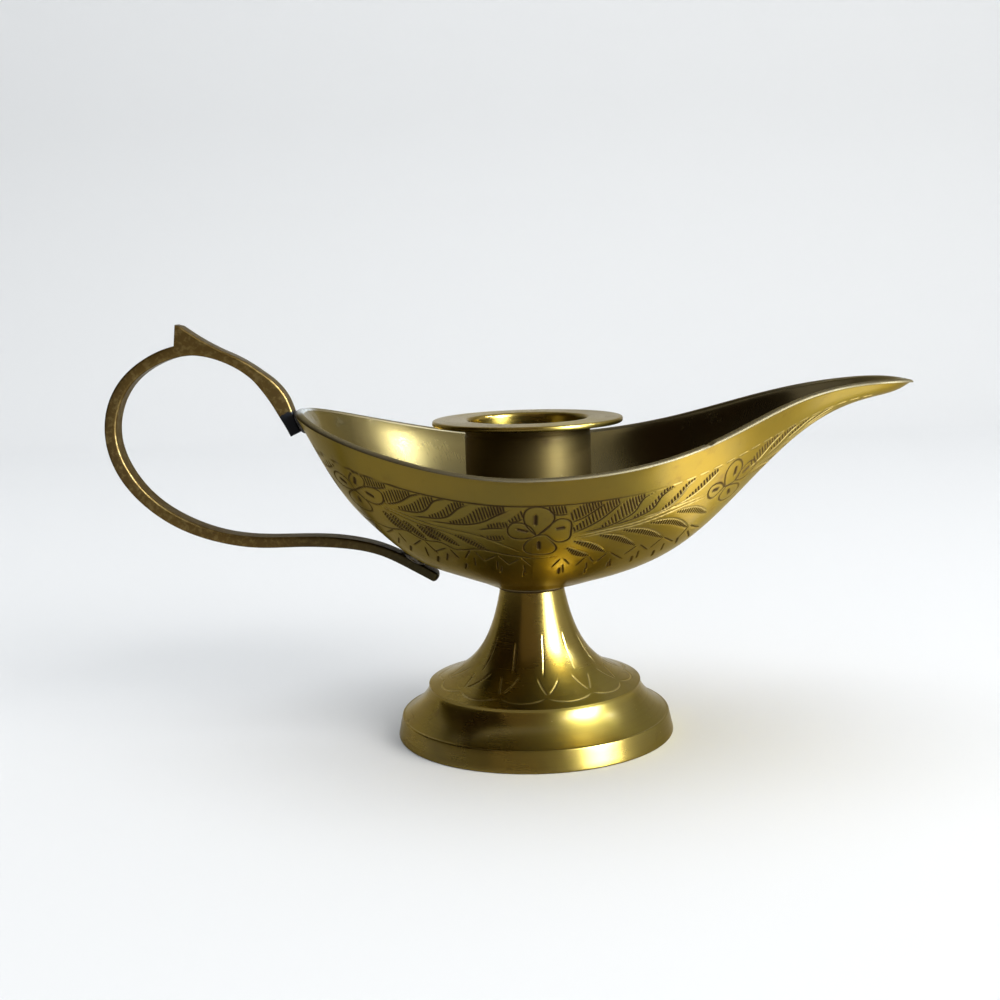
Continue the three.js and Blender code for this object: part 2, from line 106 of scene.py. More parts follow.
# Bowl, with heights above its seat on the foot
WALL = 1.6
FLOOR = 2.2
SEAT_RADIUS = 6.5
SEAT_BOSS = 0.5
SEAT_BLEND = 2.5
SEAT_FILLET = 0.12
FLOOR_PAD = 1.5
BOW_HEIGHT = 35.2
BOW_FULLNESS = 20.2
SIDE_HEIGHT = 25.6
SIDE_AFT = 20
SIDE_FORE = 35
SPOUT_HEIGHT = 37.4
NECK_SETBACK = 9.2
NECK_HALF_WIDTH = 8
NECK_RISE = 0.3
NECK_FORE = 6.8
NECK_AFT = 22
NECK_SLOPE = 0.06
TIP_FULLNESS = 3.5
RIM_ROUND = 0.55
NICK_PLACE = 31
NICK_REACH = 0.5
NICK_DEPTH = 0.45
SECTION_POWER = 2.1
# Powers that turn the wall level and sink it at the rim, and the station where its lines are fully bent
RIM_TURN = 6
RIM_SINK = 24
SPOUT_BEND = 50
# Keels, as shares of the way from the seat to the end and of the rise there
BOW_KEEL = ([0, 0.2, 0.4, 0.6, 0.8, 1], [0, 0.075, 0.162, 0.333, 0.585, 1])
SPOUT_KEEL = (
    [0, 0.2, 0.35, 0.5, 0.65, 0.8, 0.9, 0.97, 1],
    [0, 0.087, 0.224, 0.458, 0.707, 0.87, 0.922, 0.963, 1],
)

# Candle socket
CANDLE_BORE = 11.1
TUBE_RADIUS = 11.8
SOCKET_BASE_RADIUS = 7.2
SOCKET_BASE_HEIGHT = 1.6
SOCKET_SWELL = 5.5
SOCKET_FLOOR_HEIGHT = 7.6
FLANGE_THICKNESS = 1

# Handle, with places from the bow's rim
STRAP_THICKNESS = 2.2
STRAP_WIDTH = 4.5
STRAP_CORNER = 0.42
STANDOFF = 1.0
HANDLE_POINTS = [
    (-2.8, 1.6), (-5.3, 5), (-8.9, 8.1), (-13.4, 10.5), (-18, 11.7), (-21.9, 11.4), (-26.3, 9.8),
    (-31.2, 6.1), (-34.2, 0.6), (-34.7, -5), (-32.4, -11.7), (-27, -17.9), (-18.9, -22.5), (-8.6, -24.8),
    (-0.8, -24.95), (8.7, -25.6), (15.6, -27.4),
]
ARM_SWELL = 0.45
SWELL_PLACE = 7.6
SWELL_REACH = 6.5
JOINT_LOW = 0.945
JOINT_HIGH = 0.99
TAIL_RADIUS = 22
TAIL_CONTACT = 3.6
TAIL_BEDDING = 0.5
TAIL_KICK = (4.4, -2.6)
ARM_SLIM = 0.16
SLIM_PLACE = 17.5
SLIM_REACH = 7
THUMB_TIP = (-21.3, 15.9)
THUMB_TOE = (-8.6, 9.05)
THUMB_HEEL = -21.6
THUMB_LEAN = 0.3
SCORCH_LENGTH = 4.4
TAIL_DARK_REACH = 46

# Fineness of the grids
RIM_STEPS = 300
RIM_TABLE_STEPS = 400
SECTION_STEPS = 200
WALL_COLUMNS = 500
WALL_SPANS = 3
TURNED_COLUMNS = 360
FLARE_COLUMNS = 560
CORNER_STEPS = 6
CORNER_SHARE = 0.49
LONGEST_STRETCH = 1.0
LEAST_LENGTH = 1e-12
LEAST_WIDTH = 1e-6
MERGE_METRES = 1e-7


def to_frame(points):
    """Millimetres from the foot's axis, as metres in the frame."""
    return (np.asarray(points) + np.array([AXIS_X, 0, 0])) * MM


def bezier(points, steps):
    """A cubic Bezier curve: four points weighted by (1 - t)^3, 3t(1 - t)^2, 3t^2(1 - t) and t^3."""
    t = np.linspace(0, 1, steps + 1)[:, None]
    a, b, c, d = (np.asarray(point, float) for point in points)
    return (1 - t) ** 3 * a + 3 * t * (1 - t) ** 2 * b + 3 * t**2 * (1 - t) * c + t**3 * d


def parabola(start, knee, end, steps):
    """A quadratic Bezier curve: a parabola that leaves its start and meets its end towards the knee."""
    t = np.linspace(0, 1, steps + 1)[:, None]
    start, knee, end = (np.asarray(point, float) for point in (start, knee, end))
    return (1 - t) ** 2 * start + 2 * t * (1 - t) * knee + t**2 * end


def arc_lengths(points):
    """Length along a polyline up to each of its points."""
    steps = np.linalg.norm(np.diff(points, axis=0), axis=1)
    return np.concatenate([[0], np.cumsum(steps)])


def at_lengths(wanted, length, points):
    """Points of a polyline at wanted lengths along it, on straight lines between its own points."""
    return np.stack([np.interp(wanted, length, axis) for axis in points.T], axis=1)


def respaced(points, count):
    """A polyline with count points, evenly spaced along it."""
    length = arc_lengths(points)
    return at_lengths(np.linspace(0, length[-1], count), length, points)


def batten(stations, heights):
    """A natural cubic spline through stations: its bends solve the usual three-term equations."""
    x, y = np.asarray(stations, float), np.asarray(heights, float)
    width = np.diff(x)
    slope = np.diff(y) / width
    middle = np.concatenate([[1], 2 * (width[:-1] + width[1:]), [1]])
    matrix = np.diag(middle)
    matrix += np.diag(np.concatenate([width[:-1], [0]]), -1)
    matrix += np.diag(np.concatenate([[0], width[1:]]), 1)
    bend = np.linalg.solve(matrix, np.concatenate([[0], 6 * np.diff(slope), [0]]))

    def height(at):
        """Between two stations: the straight line, and a cubic sag by the bends at both."""
        i = np.clip(np.searchsorted(x, at, side="right") - 1, 0, len(x) - 2)
        a = (x[i + 1] - at) / width[i]
        b = 1 - a
        sag = ((a**3 - a) * bend[i] + (b**3 - b) * bend[i + 1]) * width[i] ** 2 / 6
        return a * y[i] + b * y[i + 1] + sag

    return height


def splined(points, count):
    """A smooth curve with count points: a natural spline by chord length for each coordinate."""
    chord = arc_lengths(points)
    fine = np.linspace(0, chord[-1], count)
    return np.stack([batten(chord, axis)(fine) for axis in points.T], axis=1)


def crossed(a, b):
    """The cross product of flat vectors."""
    return a[..., 0] * b[..., 1] - a[..., 1] * b[..., 0]


def smoothstep(low, high, value):
    """0 below low, 1 above high, and a smooth cubic between."""
    share = np.clip((value - low) / (high - low), 0, 1)
    return share * share * (3 - 2 * share)


def quad_faces(rows, columns, wraps):
    """Corner numbers of a grid's four-sided faces. A grid that wraps joins its last column to its first."""
    across = columns if wraps else columns - 1
    row, column = np.meshgrid(np.arange(rows - 1), np.arange(across), indexing="ij")
    after = (column + 1) % columns
    here, there = row * columns, (row + 1) * columns
    return np.stack([here + column, here + after, there + after, there + column], axis=-1).reshape(-1, 4)


def grid_map(points, wraps):
    """A flat map for a grid's faces.

    Both its axes run from 0 to 1, spaced as the grid's rows and columns are.
    """
    closed = np.concatenate([points, points[:, :1]], axis=1) if wraps else points
    widths = np.linalg.norm(np.diff(closed, axis=1), axis=-1).mean(axis=0)
    heights = np.linalg.norm(np.diff(points, axis=0), axis=-1).mean(axis=1)
    u, v = (np.concatenate([[0], np.cumsum(steps)]) / steps.sum() for steps in (widths, heights))
    row, column = np.meshgrid(np.arange(len(heights)), np.arange(len(widths)), indexing="ij")
    corners = [(column, row), (column + 1, row), (column + 1, row + 1), (column, row + 1)]
    return np.stack([np.stack([u[c], v[r]], axis=-1) for c, r in corners], axis=-2).reshape(-1, 2)


def grid_normals(points, wraps):
    """Unit normals of a grid: the cross product of its differences along columns and along rows."""
    if wraps:
        along = np.roll(points, -1, axis=1) - np.roll(points, 1, axis=1)
    else:
        along = np.gradient(points, axis=1)
    up = np.gradient(points, axis=0)
    normal = np.cross(along, up)
    return normal / np.maximum(np.linalg.norm(normal, axis=-1, keepdims=True), LEAST_LENGTH)


def per_row(values, grid):
    """One value for each row of a grid, given to all points of the row."""
    return values[:, None] + np.zeros(grid.shape[:2])


def surface(name, points, replaced, wraps=True, normals=None, fields=None):
    """A piece over a grid of points, whose faces look the way of columns x rows.

    Equal points at a pole are merged. fields are numbers per point for the material to read.
    """
    rows, columns = points.shape[:2]
    mesh = bpy.data.meshes.new(name)
    faces = quad_faces(rows, columns, wraps)
    mesh.vertices.add(rows * columns)
    mesh.vertices.foreach_set("co", to_frame(points).astype(np.float32).ravel())
    mesh.loops.add(faces.size)
    mesh.loops.foreach_set("vertex_index", faces.astype(np.int32).ravel())
    mesh.polygons.add(len(faces))
    mesh.polygons.foreach_set("loop_start", np.arange(0, faces.size, 4, dtype=np.int32))
    mesh.update(calc_edges=True)
    flat = mesh.uv_layers.new(name="OFBake")
    flat.data.foreach_set("uv", grid_map(points, wraps).astype(np.float32).ravel())
    for field, values in (fields or {}).items():
        attribute = mesh.attributes.new(field, "FLOAT", "POINT")
        attribute.data.foreach_set("value", np.asarray(values, np.float32).ravel())
    if normals is None:
        merge_poles(mesh)
    mesh.polygons.foreach_set("use_smooth", np.ones(len(mesh.polygons), bool))
    if normals is not None:
        mesh.normals_split_custom_set_from_vertices(normals.reshape(-1, 3))
    piece = bpy.data.objects.new(name, mesh)
    bpy.context.scene.collection.objects.link(piece)
    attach(piece, "root")
    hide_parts(replaced)
    return piece


def merge_poles(mesh):
    """Merges points that lie on each other, so that poles and end caps are closed."""
    made = bmesh.new()
    made.from_mesh(mesh)
    bmesh.ops.remove_doubles(made, verts=made.verts, dist=MERGE_METRES)
    bmesh.ops.dissolve_degenerate(made, edges=made.edges, dist=MERGE_METRES)
    made.to_mesh(mesh)
    made.free()


def softened(corners):
    """An outline whose corners, given as (radius, height, reach), are rounded.

    Each corner becomes a parabola that starts and ends a reach away from it. Straight stretches are divided.
    """
    places = np.array([corner[:2] for corner in corners], float)
    reaches = [corner[2] for corner in corners]
    outline = [places[:1]]
    for before, place, after, reach in zip(places, places[1:], places[2:], reaches[1:]):
        if reach == 0:
            outline.append(place[None])
            continue
        start = place + (before - place) * min(CORNER_SHARE, reach / np.linalg.norm(before - place))
        end = place + (after - place) * min(CORNER_SHARE, reach / np.linalg.norm(after - place))
        outline.append(parabola(start, place, end, CORNER_STEPS))
    outline.append(places[-1:])
    return divided(np.concatenate(outline), LONGEST_STRETCH)


def divided(outline, longest):
    """An outline with points added so that no stretch is over the longest."""
    pieces = [outline[:1]]
    for start, end in zip(outline, outline[1:]):
        count = max(1, math.ceil(np.linalg.norm(end - start) / longest))
        shares = np.arange(1, count + 1)[:, None] / count
        pieces.append(start + (end - start) * shares)
    return np.concatenate(pieces)


def even_turn(count):
    """Angles that go once round in even steps."""
    return np.arange(count) / count * TURN


def round_axis(radius, angle, height):
    """Points round the axis: x and y are the radius times the angle's cosine and sine."""
    places = np.broadcast_arrays(radius * np.cos(angle), radius * np.sin(angle), height)
    return np.stack(places, axis=-1)


def spun(outline, columns):
    """An outline of (radius, height) spun round the axis."""
    return round_axis(outline[:, :1], even_turn(columns), outline[:, 1:])


# Bowl form

bow_keel = batten(*BOW_KEEL)
spout_keel = batten(*SPOUT_KEEL)


def half_rim(steps):
    """Half of the rim from the bow to the spout's tip, on the +Y side: three Bezier curves."""
    tip = np.array([SPOUT_REACH, 0, SPOUT_HEIGHT])
    neck = np.array([SPOUT_REACH - NECK_SETBACK, NECK_HALF_WIDTH, SPOUT_HEIGHT + NECK_RISE])
    side = np.array([0, HALF_BEAM, SIDE_HEIGHT])
    bow = np.array([-BOW_REACH, 0, BOW_HEIGHT])
    slant = np.array([1, -NECK_SLOPE, NECK_SLOPE])
    along, across = np.eye(3)[:2]
    aft = bezier([bow, bow + across * BOW_FULLNESS, side - along * SIDE_AFT, side], steps)
    fore = bezier([side, side + along * SIDE_FORE, neck - slant * NECK_AFT, neck], steps)
    lip = bezier([neck, neck + slant * NECK_FORE, tip + across * TIP_FULLNESS, tip], steps)
    return np.concatenate([aft, fore[1:], lip[1:]])


FINE_RIM = half_rim(RIM_TABLE_STEPS)


def rim_width(x):
    """Half of the bowl's width at stations along the lamp, read off the fine rim."""
    return np.interp(x, FINE_RIM[:, 0], FINE_RIM[:, 1])


def rim_height(x):
    """The rim's height at stations along the lamp, read off the fine rim."""
    return np.interp(x, FINE_RIM[:, 0], FINE_RIM[:, 2])


def keel_height(x):
    """The keel's height at stations along the lamp, by the spline of its side.

    Half a hyperbola, with a length of SEAT_BLEND, eases the way from the flat seat into the spline.
    """
    past = np.abs(x) - SEAT_RADIUS
    eased = (past + np.hypot(past, SEAT_BLEND)) / 2
    aft = bow_keel(np.clip(eased / (BOW_REACH - SEAT_RADIUS), 0, 1))
    fore = spout_keel(np.clip(eased / (SPOUT_REACH - SEAT_RADIUS), 0, 1))
    return SEAT_BOSS + np.where(x < 0, (BOW_HEIGHT - SEAT_BOSS) * aft, (SPOUT_HEIGHT - SEAT_BOSS) * fore)


def wall_height(x, y):
    """The outer wall over places in plan: from keel to rim as a power of the share of the half width."""
    keel = keel_height(x)
    out = np.clip(np.abs(y) / np.maximum(rim_width(x), LEAST_WIDTH), 0, 1)
    return keel + (rim_height(x) - keel) * out**SECTION_POWER


def bowl_rim():
    """The whole rim with even steps: bow to spout along the viewer's side, then back along the far side."""
    half = respaced(half_rim(RIM_STEPS), WALL_SPANS * WALL_COLUMNS + 1)
    near = half * np.array([1, -1, 1])
    return np.concatenate([near, half[-2:0:-1]])


def around_rim(rim):
    """Length along the rim up to each of its points, from the bow round and back."""
    return arc_lengths(np.concatenate([rim, rim[:1]]))[:-1]


def wall_grid(rim, shares):
    """The outer wall: from the seat's circle (share 0) out to the rim (share 1).

    In plan a line leaves the rim across it and bends along the keel: its x share is 1 - (1 - share) ** power.
    The wall sinks by the rim's round towards it, and near the seat it is lowered to the seat's boss.
    """
    angle = np.arctan2(rim[:, 1], rim[:, 0])
    seat = SEAT_RADIUS * np.stack([np.cos(angle), np.sin(angle)], axis=1)
    power = 1 + smoothstep(0, SPOUT_BEND, rim[:, 0])
    share = shares[:, None]
    x = seat[:, 0] + (rim[:, 0] - seat[:, 0]) * (1 - (1 - share) ** power)
    y = seat[:, 1] + (rim[:, 1] - seat[:, 1]) * share
    z = wall_height(x, y) - RIM_ROUND * share**RIM_SINK
    z -= (z[0] - SEAT_BOSS) * (1 - smoothstep(0, SEAT_FILLET, share))
    return np.stack([x, y, z + FOOT_HEIGHT], axis=-1)


def wall_directions(points, shares):
    """Outward directions of the wall: square to it, and level at the rim by a power of the share."""
    square = grid_normals(points, wraps=True)
    along = np.roll(points[-1], -1, axis=0) - np.roll(points[-1], 1, axis=0)
    level = np.stack([along[:, 1], -along[:, 0], 0 * along[:, 0]], axis=-1)
    level /= np.linalg.norm(level, axis=-1, keepdims=True)
    weight = (shares**RIM_TURN)[:, None, None]
    mixed = square * (1 - weight) + level * weight
    return mixed / np.linalg.norm(mixed, axis=-1, keepdims=True)


# Engraving

# Cuts, as (half width, depth, soil). A cut without soil is drawn in a paler tone: bright-cut metal and a
# painted glint.
LINE_CUT = (0.17, 0.16, 0.9)
HATCH_CUT = (0.155, 0.16, 1.0)
STEM_CUT = (0.18, 0.15, 0.0)
OLD_STEM_CUT = (0.18, 0.15, 0.6)
FLARE_CUT = (0.16, 0.13, 0.0)
SLIT_CUT = (0.36, 0.24, 1.0)
DROP_CUT = (0.28, 0.2, 0.8)
CUT_REACH = 0.7
TAPER_RATE = 4.5
TAPER_START = 0.3
SOIL_REACH = 1.5
HAZE = 0.26
HAZE_REACH = 0.55
BURR = 0.6
BURR_PLACE = 1.5
BURR_SPREAD = 0.2

# Strokes
CURVE_SPACING = 0.35
FEWEST_POINTS = 6
STROKE_STEPS = 6
HATCH_STEP = 0.5
HATCH_LEAN = 0.2
LEAN_ROUNDS = 4
HATCH_GAP = 0.12
HATCH_SHORTEST = 0.35
HATCH_WAVER = 0.09
WAVER_RATE = 5.1
BEAD_STEP = 0.5
BEAD_PHASE = 0.6
BEAD_SHORTEST = 0.5
BEAD_SWELL = 1.15
BEAD_LEAN = 0.35
BEAD_GAP = (-0.04, 0.16)
BEAD_STEPS = 4
TWIG_STARTS = np.array([(-0.3, 0.2), (0.2, 0.1), (0.1, 2.2)])
TWIG_ENDS = np.array([(-2.1, 3.0), (1.9, 3.2), (0.2, 6.0)])
START_WANDER = 0.25
END_WANDER = 0.6
TWIG_SEED = 7
DROP_HALF = 1.5
DROP_LEAN = 0.25
DROP_STEPS = 7
# Leaf edges from this station on are cut unsoiled and drawn pale: bright-cut metal and a painted glint
CLEAN_GLINT_LEAVES_FROM = 17

# Line under the rim, by stations along the lamp and distances below the rim
RIM_LINE_START = -42.4
RIM_LINE_END = 64.1
RIM_LINE_STEP = 0.5
RIM_LINE_DOWN = 6.35
RIM_LINE_RISE = 1.5
RISE_START = 44
RISE_END = 62
WHOLE_LINE_END = 24.1
DASHES_START = 23.9
DASHES = 16

# Strokes on one side of the bowl, as (station along the lamp, distance below the rim)
LEAVES = [
    ([(-28.8, 9.2), (-26.5, 8.4), (-24.6, 7.3)], [(-28.6, 6.6), (-24.8, 6.5)]),
    ([(-25.6, 12.0), (-23.7, 10.9), (-21.8, 9.1), (-20.5, 7.6), (-18.1, 6.3)],
     [(-25.8, 9.0), (-23.4, 6.9), (-20.4, 6.6)]),
    ([(-23.8, 12.3), (-21.1, 11.8), (-19.3, 11.3), (-17.7, 9.8), (-16.4, 7.5), (-13.5, 6.3)],
     [(-22.8, 11.2), (-20.0, 8.8), (-18.1, 6.7), (-16.6, 6.5)]),
    ([(-20.8, 12.9), (-18.0, 12.2), (-15.8, 11.7), (-14.0, 10.5), (-12.2, 8.1), (-10.2, 6.7)],
     [(-17.4, 11.2), (-14.8, 8.8), (-12.9, 6.6), (-11.2, 6.6)]),
    ([(-18.2, 12.9), (-13.5, 12.5), (-10.6, 11.9), (-7.8, 10.4), (-5.5, 8.5), (-3.1, 7.0)],
     [(-13.8, 11.7), (-11.1, 9.8), (-8.7, 6.9), (-6.2, 6.3), (-4.6, 6.3)]),
    ([(-9.1, 13.0), (-7.0, 12.3), (-4.4, 12.0)], [(-7.4, 11.2), (-5.6, 10.4), (-4.2, 10.3)]),
    ([(-4.0, 10.5), (-2.8, 10.2), (-1.4, 9.4)], [(-3.8, 9.6), (-2.6, 8.4), (-1.6, 7.0)]),
    ([(-9.1, 14.1), (-7.2, 15.4), (-4.9, 15.4)], [(-7.6, 14.3), (-4.9, 13.8)]),
    ([(2.9, 7.3), (4.0, 8.6), (6.3, 8.6)], [(3.0, 6.4), (6.0, 6.4)]),
    ([(6.5, 10.9), (8.6, 10.1), (10.5, 8.7), (12.6, 7.0)], [(6.6, 8.1), (8.2, 6.6), (12.0, 6.5)]),
    ([(6.9, 13.8), (11.7, 11.1), (14.4, 8.4), (15.6, 7.2)],
     [(7.1, 12.1), (10.5, 8.5), (12.6, 6.6), (14.9, 6.4)]),
    ([(8.0, 13.9), (12.9, 13.2), (16.0, 11.8), (17.7, 10.5), (19.0, 7.9), (21.3, 6.7)],
     [(12.0, 12.5), (14.2, 9.6), (15.8, 7.2), (17.2, 6.6), (19.5, 6.6)]),
    ([(12.9, 13.2), (18.6, 12.1), (21.2, 10.5), (22.2, 8.6), (24.9, 6.9)],
     [(17.6, 11.7), (21.2, 8.5), (23.1, 6.6), (24.2, 6.6)]),
    ([(18.4, 12.6), (23.4, 11.9), (26.0, 9.6), (27.2, 7.9), (29.2, 6.7)],
     [(22.6, 11.4), (25.6, 8.2), (27.4, 6.7), (28.8, 6.6)]),
    ([(23.4, 12.4), (28.8, 10.7), (31.2, 9.1), (33.4, 7.2)],
     [(27.0, 10.8), (29.6, 8.4), (31.6, 6.9), (33.0, 6.7)]),
    ([(38.8, 12.0), (41.5, 10.7), (43.6, 8.5), (46.0, 6.7)],
     [(39.6, 9.4), (41.2, 7.4), (43.6, 6.5), (45.0, 6.4)]),
    ([(42.6, 11.2), (45.2, 9.9), (47.2, 8.0), (49.4, 6.5)],
     [(43.8, 9.2), (45.4, 7.4), (47.4, 6.3), (48.6, 6.2)]),
    ([(46.6, 10.2), (49.0, 8.8), (50.9, 7.2), (53.0, 6.0)], [(47.6, 8.4), (49.2, 7.0), (51.6, 6.0)]),
    ([(50.4, 8.8), (52.4, 7.6), (54.4, 6.4), (56.4, 5.6)], [(51.4, 7.3), (52.8, 6.4), (55.0, 5.6)]),
    ([(-40.4, 9.4), (-38.6, 8.6), (-36.6, 6.8)], [(-40.0, 8.0), (-38.6, 6.8), (-37.4, 6.6)]),
    ([(-37.8, 11.2), (-36.0, 9.6), (-34.4, 6.9)], [(-37.2, 9.6), (-36.0, 7.6), (-35.2, 6.8)]),
]
STEMS = [
    [(-26.4, 13.2), (-23.1, 13.7), (-19.9, 14.4), (-16.3, 14.9), (-12.3, 16.2), (-8.4, 18.8)],
    [(-25.6, 12.7), (-22.6, 12.9), (-19.4, 13.5), (-16.0, 14.0), (-10.5, 14.4), (-5.7, 16.2), (-1.6, 19.0)],
    [(7.1, 15.0), (12.9, 14.0), (18.8, 13.4), (23.4, 12.5), (27.4, 12.2), (31.6, 12.4)],
    [(7.4, 15.6), (13.0, 14.7), (18.8, 14.2), (23.6, 13.4), (27.6, 13.0), (32.0, 13.2)],
    [(39.4, 12.8), (44.4, 12.0), (50.0, 9.7), (56.8, 6.4)],
    [(39.6, 13.6), (44.6, 12.7), (50.2, 10.4), (55.6, 7.6)],
]
LOWER_LEAVES = [
    [(-26.0, 14.1), (-24.2, 15.6), (-22.5, 17.6)], [(-24.6, 13.9), (-22.8, 15.2), (-20.9, 17.5)],
    [(-22.3, 14.6), (-20.4, 16.0), (-18.3, 18.5)], [(-19.8, 14.6), (-18.2, 15.6), (-15.7, 17.9)],
    [(-18.3, 14.7), (-15.8, 15.6), (-12.4, 18.5)], [(-13.2, 15.3), (-10.4, 16.0), (-7.4, 18.6)],
    [(7.2, 15.8), (10.6, 17.5), (12.8, 20.6)], [(11.7, 15.0), (15.3, 16.5), (18.2, 20.4)],
    [(15.8, 14.7), (20.1, 16.3), (23.4, 20.6)], [(20.6, 14.4), (24.9, 15.6), (28.1, 20.4)],
    [(25.4, 13.6), (29.0, 14.6), (31.6, 18.4)], [(6.0, 17.6), (8.0, 19.2), (10.0, 21.0)],
    [(40.6, 13.8), (42.8, 14.2), (44.4, 16.4)], [(43.8, 13.2), (45.8, 13.4), (47.2, 15.2)],
    [(46.8, 12.0), (48.6, 12.0), (49.8, 13.4)], [(-37.4, 12.4), (-35.8, 13.8), (-34.6, 16.6)],
]
PETALS = [
    [(0.8, 14.0), (-1.0, 11.0), (-1.3, 8.8), (-0.7, 7.1), (0.8, 6.5), (2.9, 7.3), (3.9, 9.2), (3.3, 11.1),
     (0.8, 14.0)],
    [(0.8, 14.0), (-1.1, 10.8), (-3.0, 10.5), (-4.1, 12.4), (-3.5, 14.3), (-1.4, 14.8), (0.8, 14.0)],
    [(0.8, 14.0), (3.2, 11.1), (5.1, 9.7), (6.5, 10.5), (6.7, 12.8), (6.0, 15.6), (4.2, 15.9),
     (2.2, 13.8), (0.8, 14.0)],
    [(0.8, 14.0), (-0.8, 15.6), (-1.5, 17.6), (-0.6, 19.2), (1.2, 19.6), (3.2, 19.4), (4.1, 18.2),
     (3.6, 16.2), (2.4, 14.7)],
    [(-31.0, 11.9), (-29.8, 10.3), (-27.4, 8.8), (-26.0, 9.1), (-25.5, 10.8), (-27.0, 13.2),
     (-28.7, 13.4), (-31.0, 11.9)],
    [(-31.0, 11.9), (-31.9, 9.6), (-31.4, 7.6), (-30.4, 6.6), (-29.2, 7.0), (-28.8, 8.4), (-29.6, 10.4)],
    [(-31.0, 11.9), (-32.6, 9.4), (-34.2, 9.2), (-35.0, 10.8), (-34.2, 12.6), (-31.0, 11.9)],
    [(-31.0, 11.9), (-32.4, 14.2), (-31.6, 16.8), (-29.8, 17.4), (-28.2, 16.2), (-28.5, 14.2),
     (-31.0, 11.9)],
    [(34.6, 13.0), (34.4, 10.2), (35.2, 7.6), (36.4, 7.0), (37.6, 8.4), (37.6, 11.0), (36.4, 13.0),
     (34.6, 13.0)],
    [(36.6, 12.8), (38.0, 10.4), (39.6, 9.6), (40.8, 10.8), (40.2, 13.0), (38.4, 13.8), (36.6, 12.8)],
    [(35.0, 13.2), (33.8, 15.0), (34.2, 17.2), (36.0, 18.0), (37.6, 16.8), (37.4, 14.6), (35.0, 13.2)],
    [(34.4, 12.8), (33.4, 11.0), (32.0, 10.8), (31.2, 12.4), (32.0, 14.4), (34.4, 12.8)],
]
SLITS = [
    [(0.75, 8.3), (0.65, 11.3)], [(-2.7, 12.1), (-0.4, 12.9)], [(5.8, 12.0), (4.0, 12.3)],
    [(1.15, 15.4), (1.2, 18.2)],
    [(-27.2, 11.3), (-29.0, 10.8)], [(-30.6, 7.8), (-30.8, 10.2)], [(-34.0, 10.6), (-32.4, 11.2)],
    [(-30.2, 15.6), (-30.6, 13.4)], [(36.5, 8.6), (36.3, 11.2)], [(39.6, 10.9), (38.0, 12.0)],
    [(35.8, 16.6), (35.5, 14.5)], [(32.0, 12.2), (33.4, 12.6)],
]
BORDER = [
    (-33.0, 19.6), (-28.8, 20.4), (-24.6, 19.3), (-21.9, 18.0), (-19.0, 19.3), (-15.7, 18.9), (-13.6, 20.2),
    (-9.6, 18.9), (-5.4, 19.4), (-2.1, 20.3), (1.0, 20.9), (4.4, 20.4),
]
TWIGS = [
    (-28.6, 20.7), (-24.0, 19.6), (-19.0, 19.5), (-14.8, 20.2), (-10.2, 19.6), (-6.0, 20.0),
    (-1.8, 20.8), (5.2, 21.2), (9.6, 21.6), (13.6, 21.4), (18.8, 20.8), (23.4, 20.9), (28.2, 20.2),
]
DROPS = [
    (-21.6, 24.8), (-16.6, 25.8), (-11.6, 26.4), (-5.4, 25.4), (-1.4, 27.0), (4.8, 26.4),
    (9.5, 27.6), (13.6, 26.4), (17.9, 26.2), (22.0, 26.6), (26.4, 24.8),
]


def flowing(points):
    """A smooth stroke through points: a spline, or a straight line where there are two."""
    points = np.asarray(points, float)
    count = max(FEWEST_POINTS, round(arc_lengths(points)[-1] / CURVE_SPACING))
    return respaced(points, count) if len(points) == 2 else splined(points, count)


def hatching(edge, tops):
    """Short wavering strokes that hang from the line of their tops down to a leaf's edge.

    A stroke leans by a share of its length, so its end is found in a few rounds.
    """
    edge, tops = flowing(edge), flowing(tops)
    x = np.arange(tops[0, 0], tops[-1, 0], HATCH_STEP)
    start = np.stack([x, np.interp(x, *tops.T)], axis=1)
    end = start.copy()
    for _ in range(LEAN_ROUNDS):
        end[:, 1] = np.interp(end[:, 0], *edge.T) - HATCH_GAP
        end[:, 0] = start[:, 0] + HATCH_LEAN * (end[:, 1] - start[:, 1])
    long = end[:, 1] - start[:, 1] > HATCH_SHORTEST
    waver = HATCH_WAVER * np.sin(WAVER_RATE * x)
    cuts = []
    for a, b, shift in zip(start[long], end[long], waver[long]):
        third = (b - a) / 3
        sideways = (shift, 0)
        cuts.append((bezier([a, a + third + sideways, b - third - sideways, b], STROKE_STEPS), HATCH_CUT))
    return cuts


def beaded(edge):
    """Short strokes below a lower leaf's edge, longest in its middle by half a sine wave."""
    curve = flowing(edge)
    length = arc_lengths(curve)
    count = round(length[-1] / BEAD_STEP)
    share = (np.arange(count) + BEAD_PHASE) / count
    start = at_lengths(share * length[-1], length, curve)
    tall = BEAD_SHORTEST + BEAD_SWELL * np.sin(np.pi * share)
    end = start + np.stack([-BEAD_LEAN * tall, tall], axis=1)
    return [(respaced(np.stack([a + BEAD_GAP, b]), BEAD_STEPS), HATCH_CUT) for a, b in zip(start, end)]


def stem(points):
    """A stem or a lower leaf's edge, cut unsoiled and drawn pale on the spout's half of the bowl: bright-cut
    metal and a painted glint.
    """
    return flowing(points), STEM_CUT if points[0][0] > 0 else OLD_STEM_CUT


def twig(top, wander):
    """A bird's-foot mark: two slanting strokes, and an upright one that starts below them."""
    starts = TWIG_STARTS + START_WANDER * wander[:3, None]
    ends = TWIG_ENDS + END_WANDER * wander[3:, None]
    return [(respaced(np.stack([top + a, top + b]), STROKE_STEPS), LINE_CUT) for a, b in zip(starts, ends)]


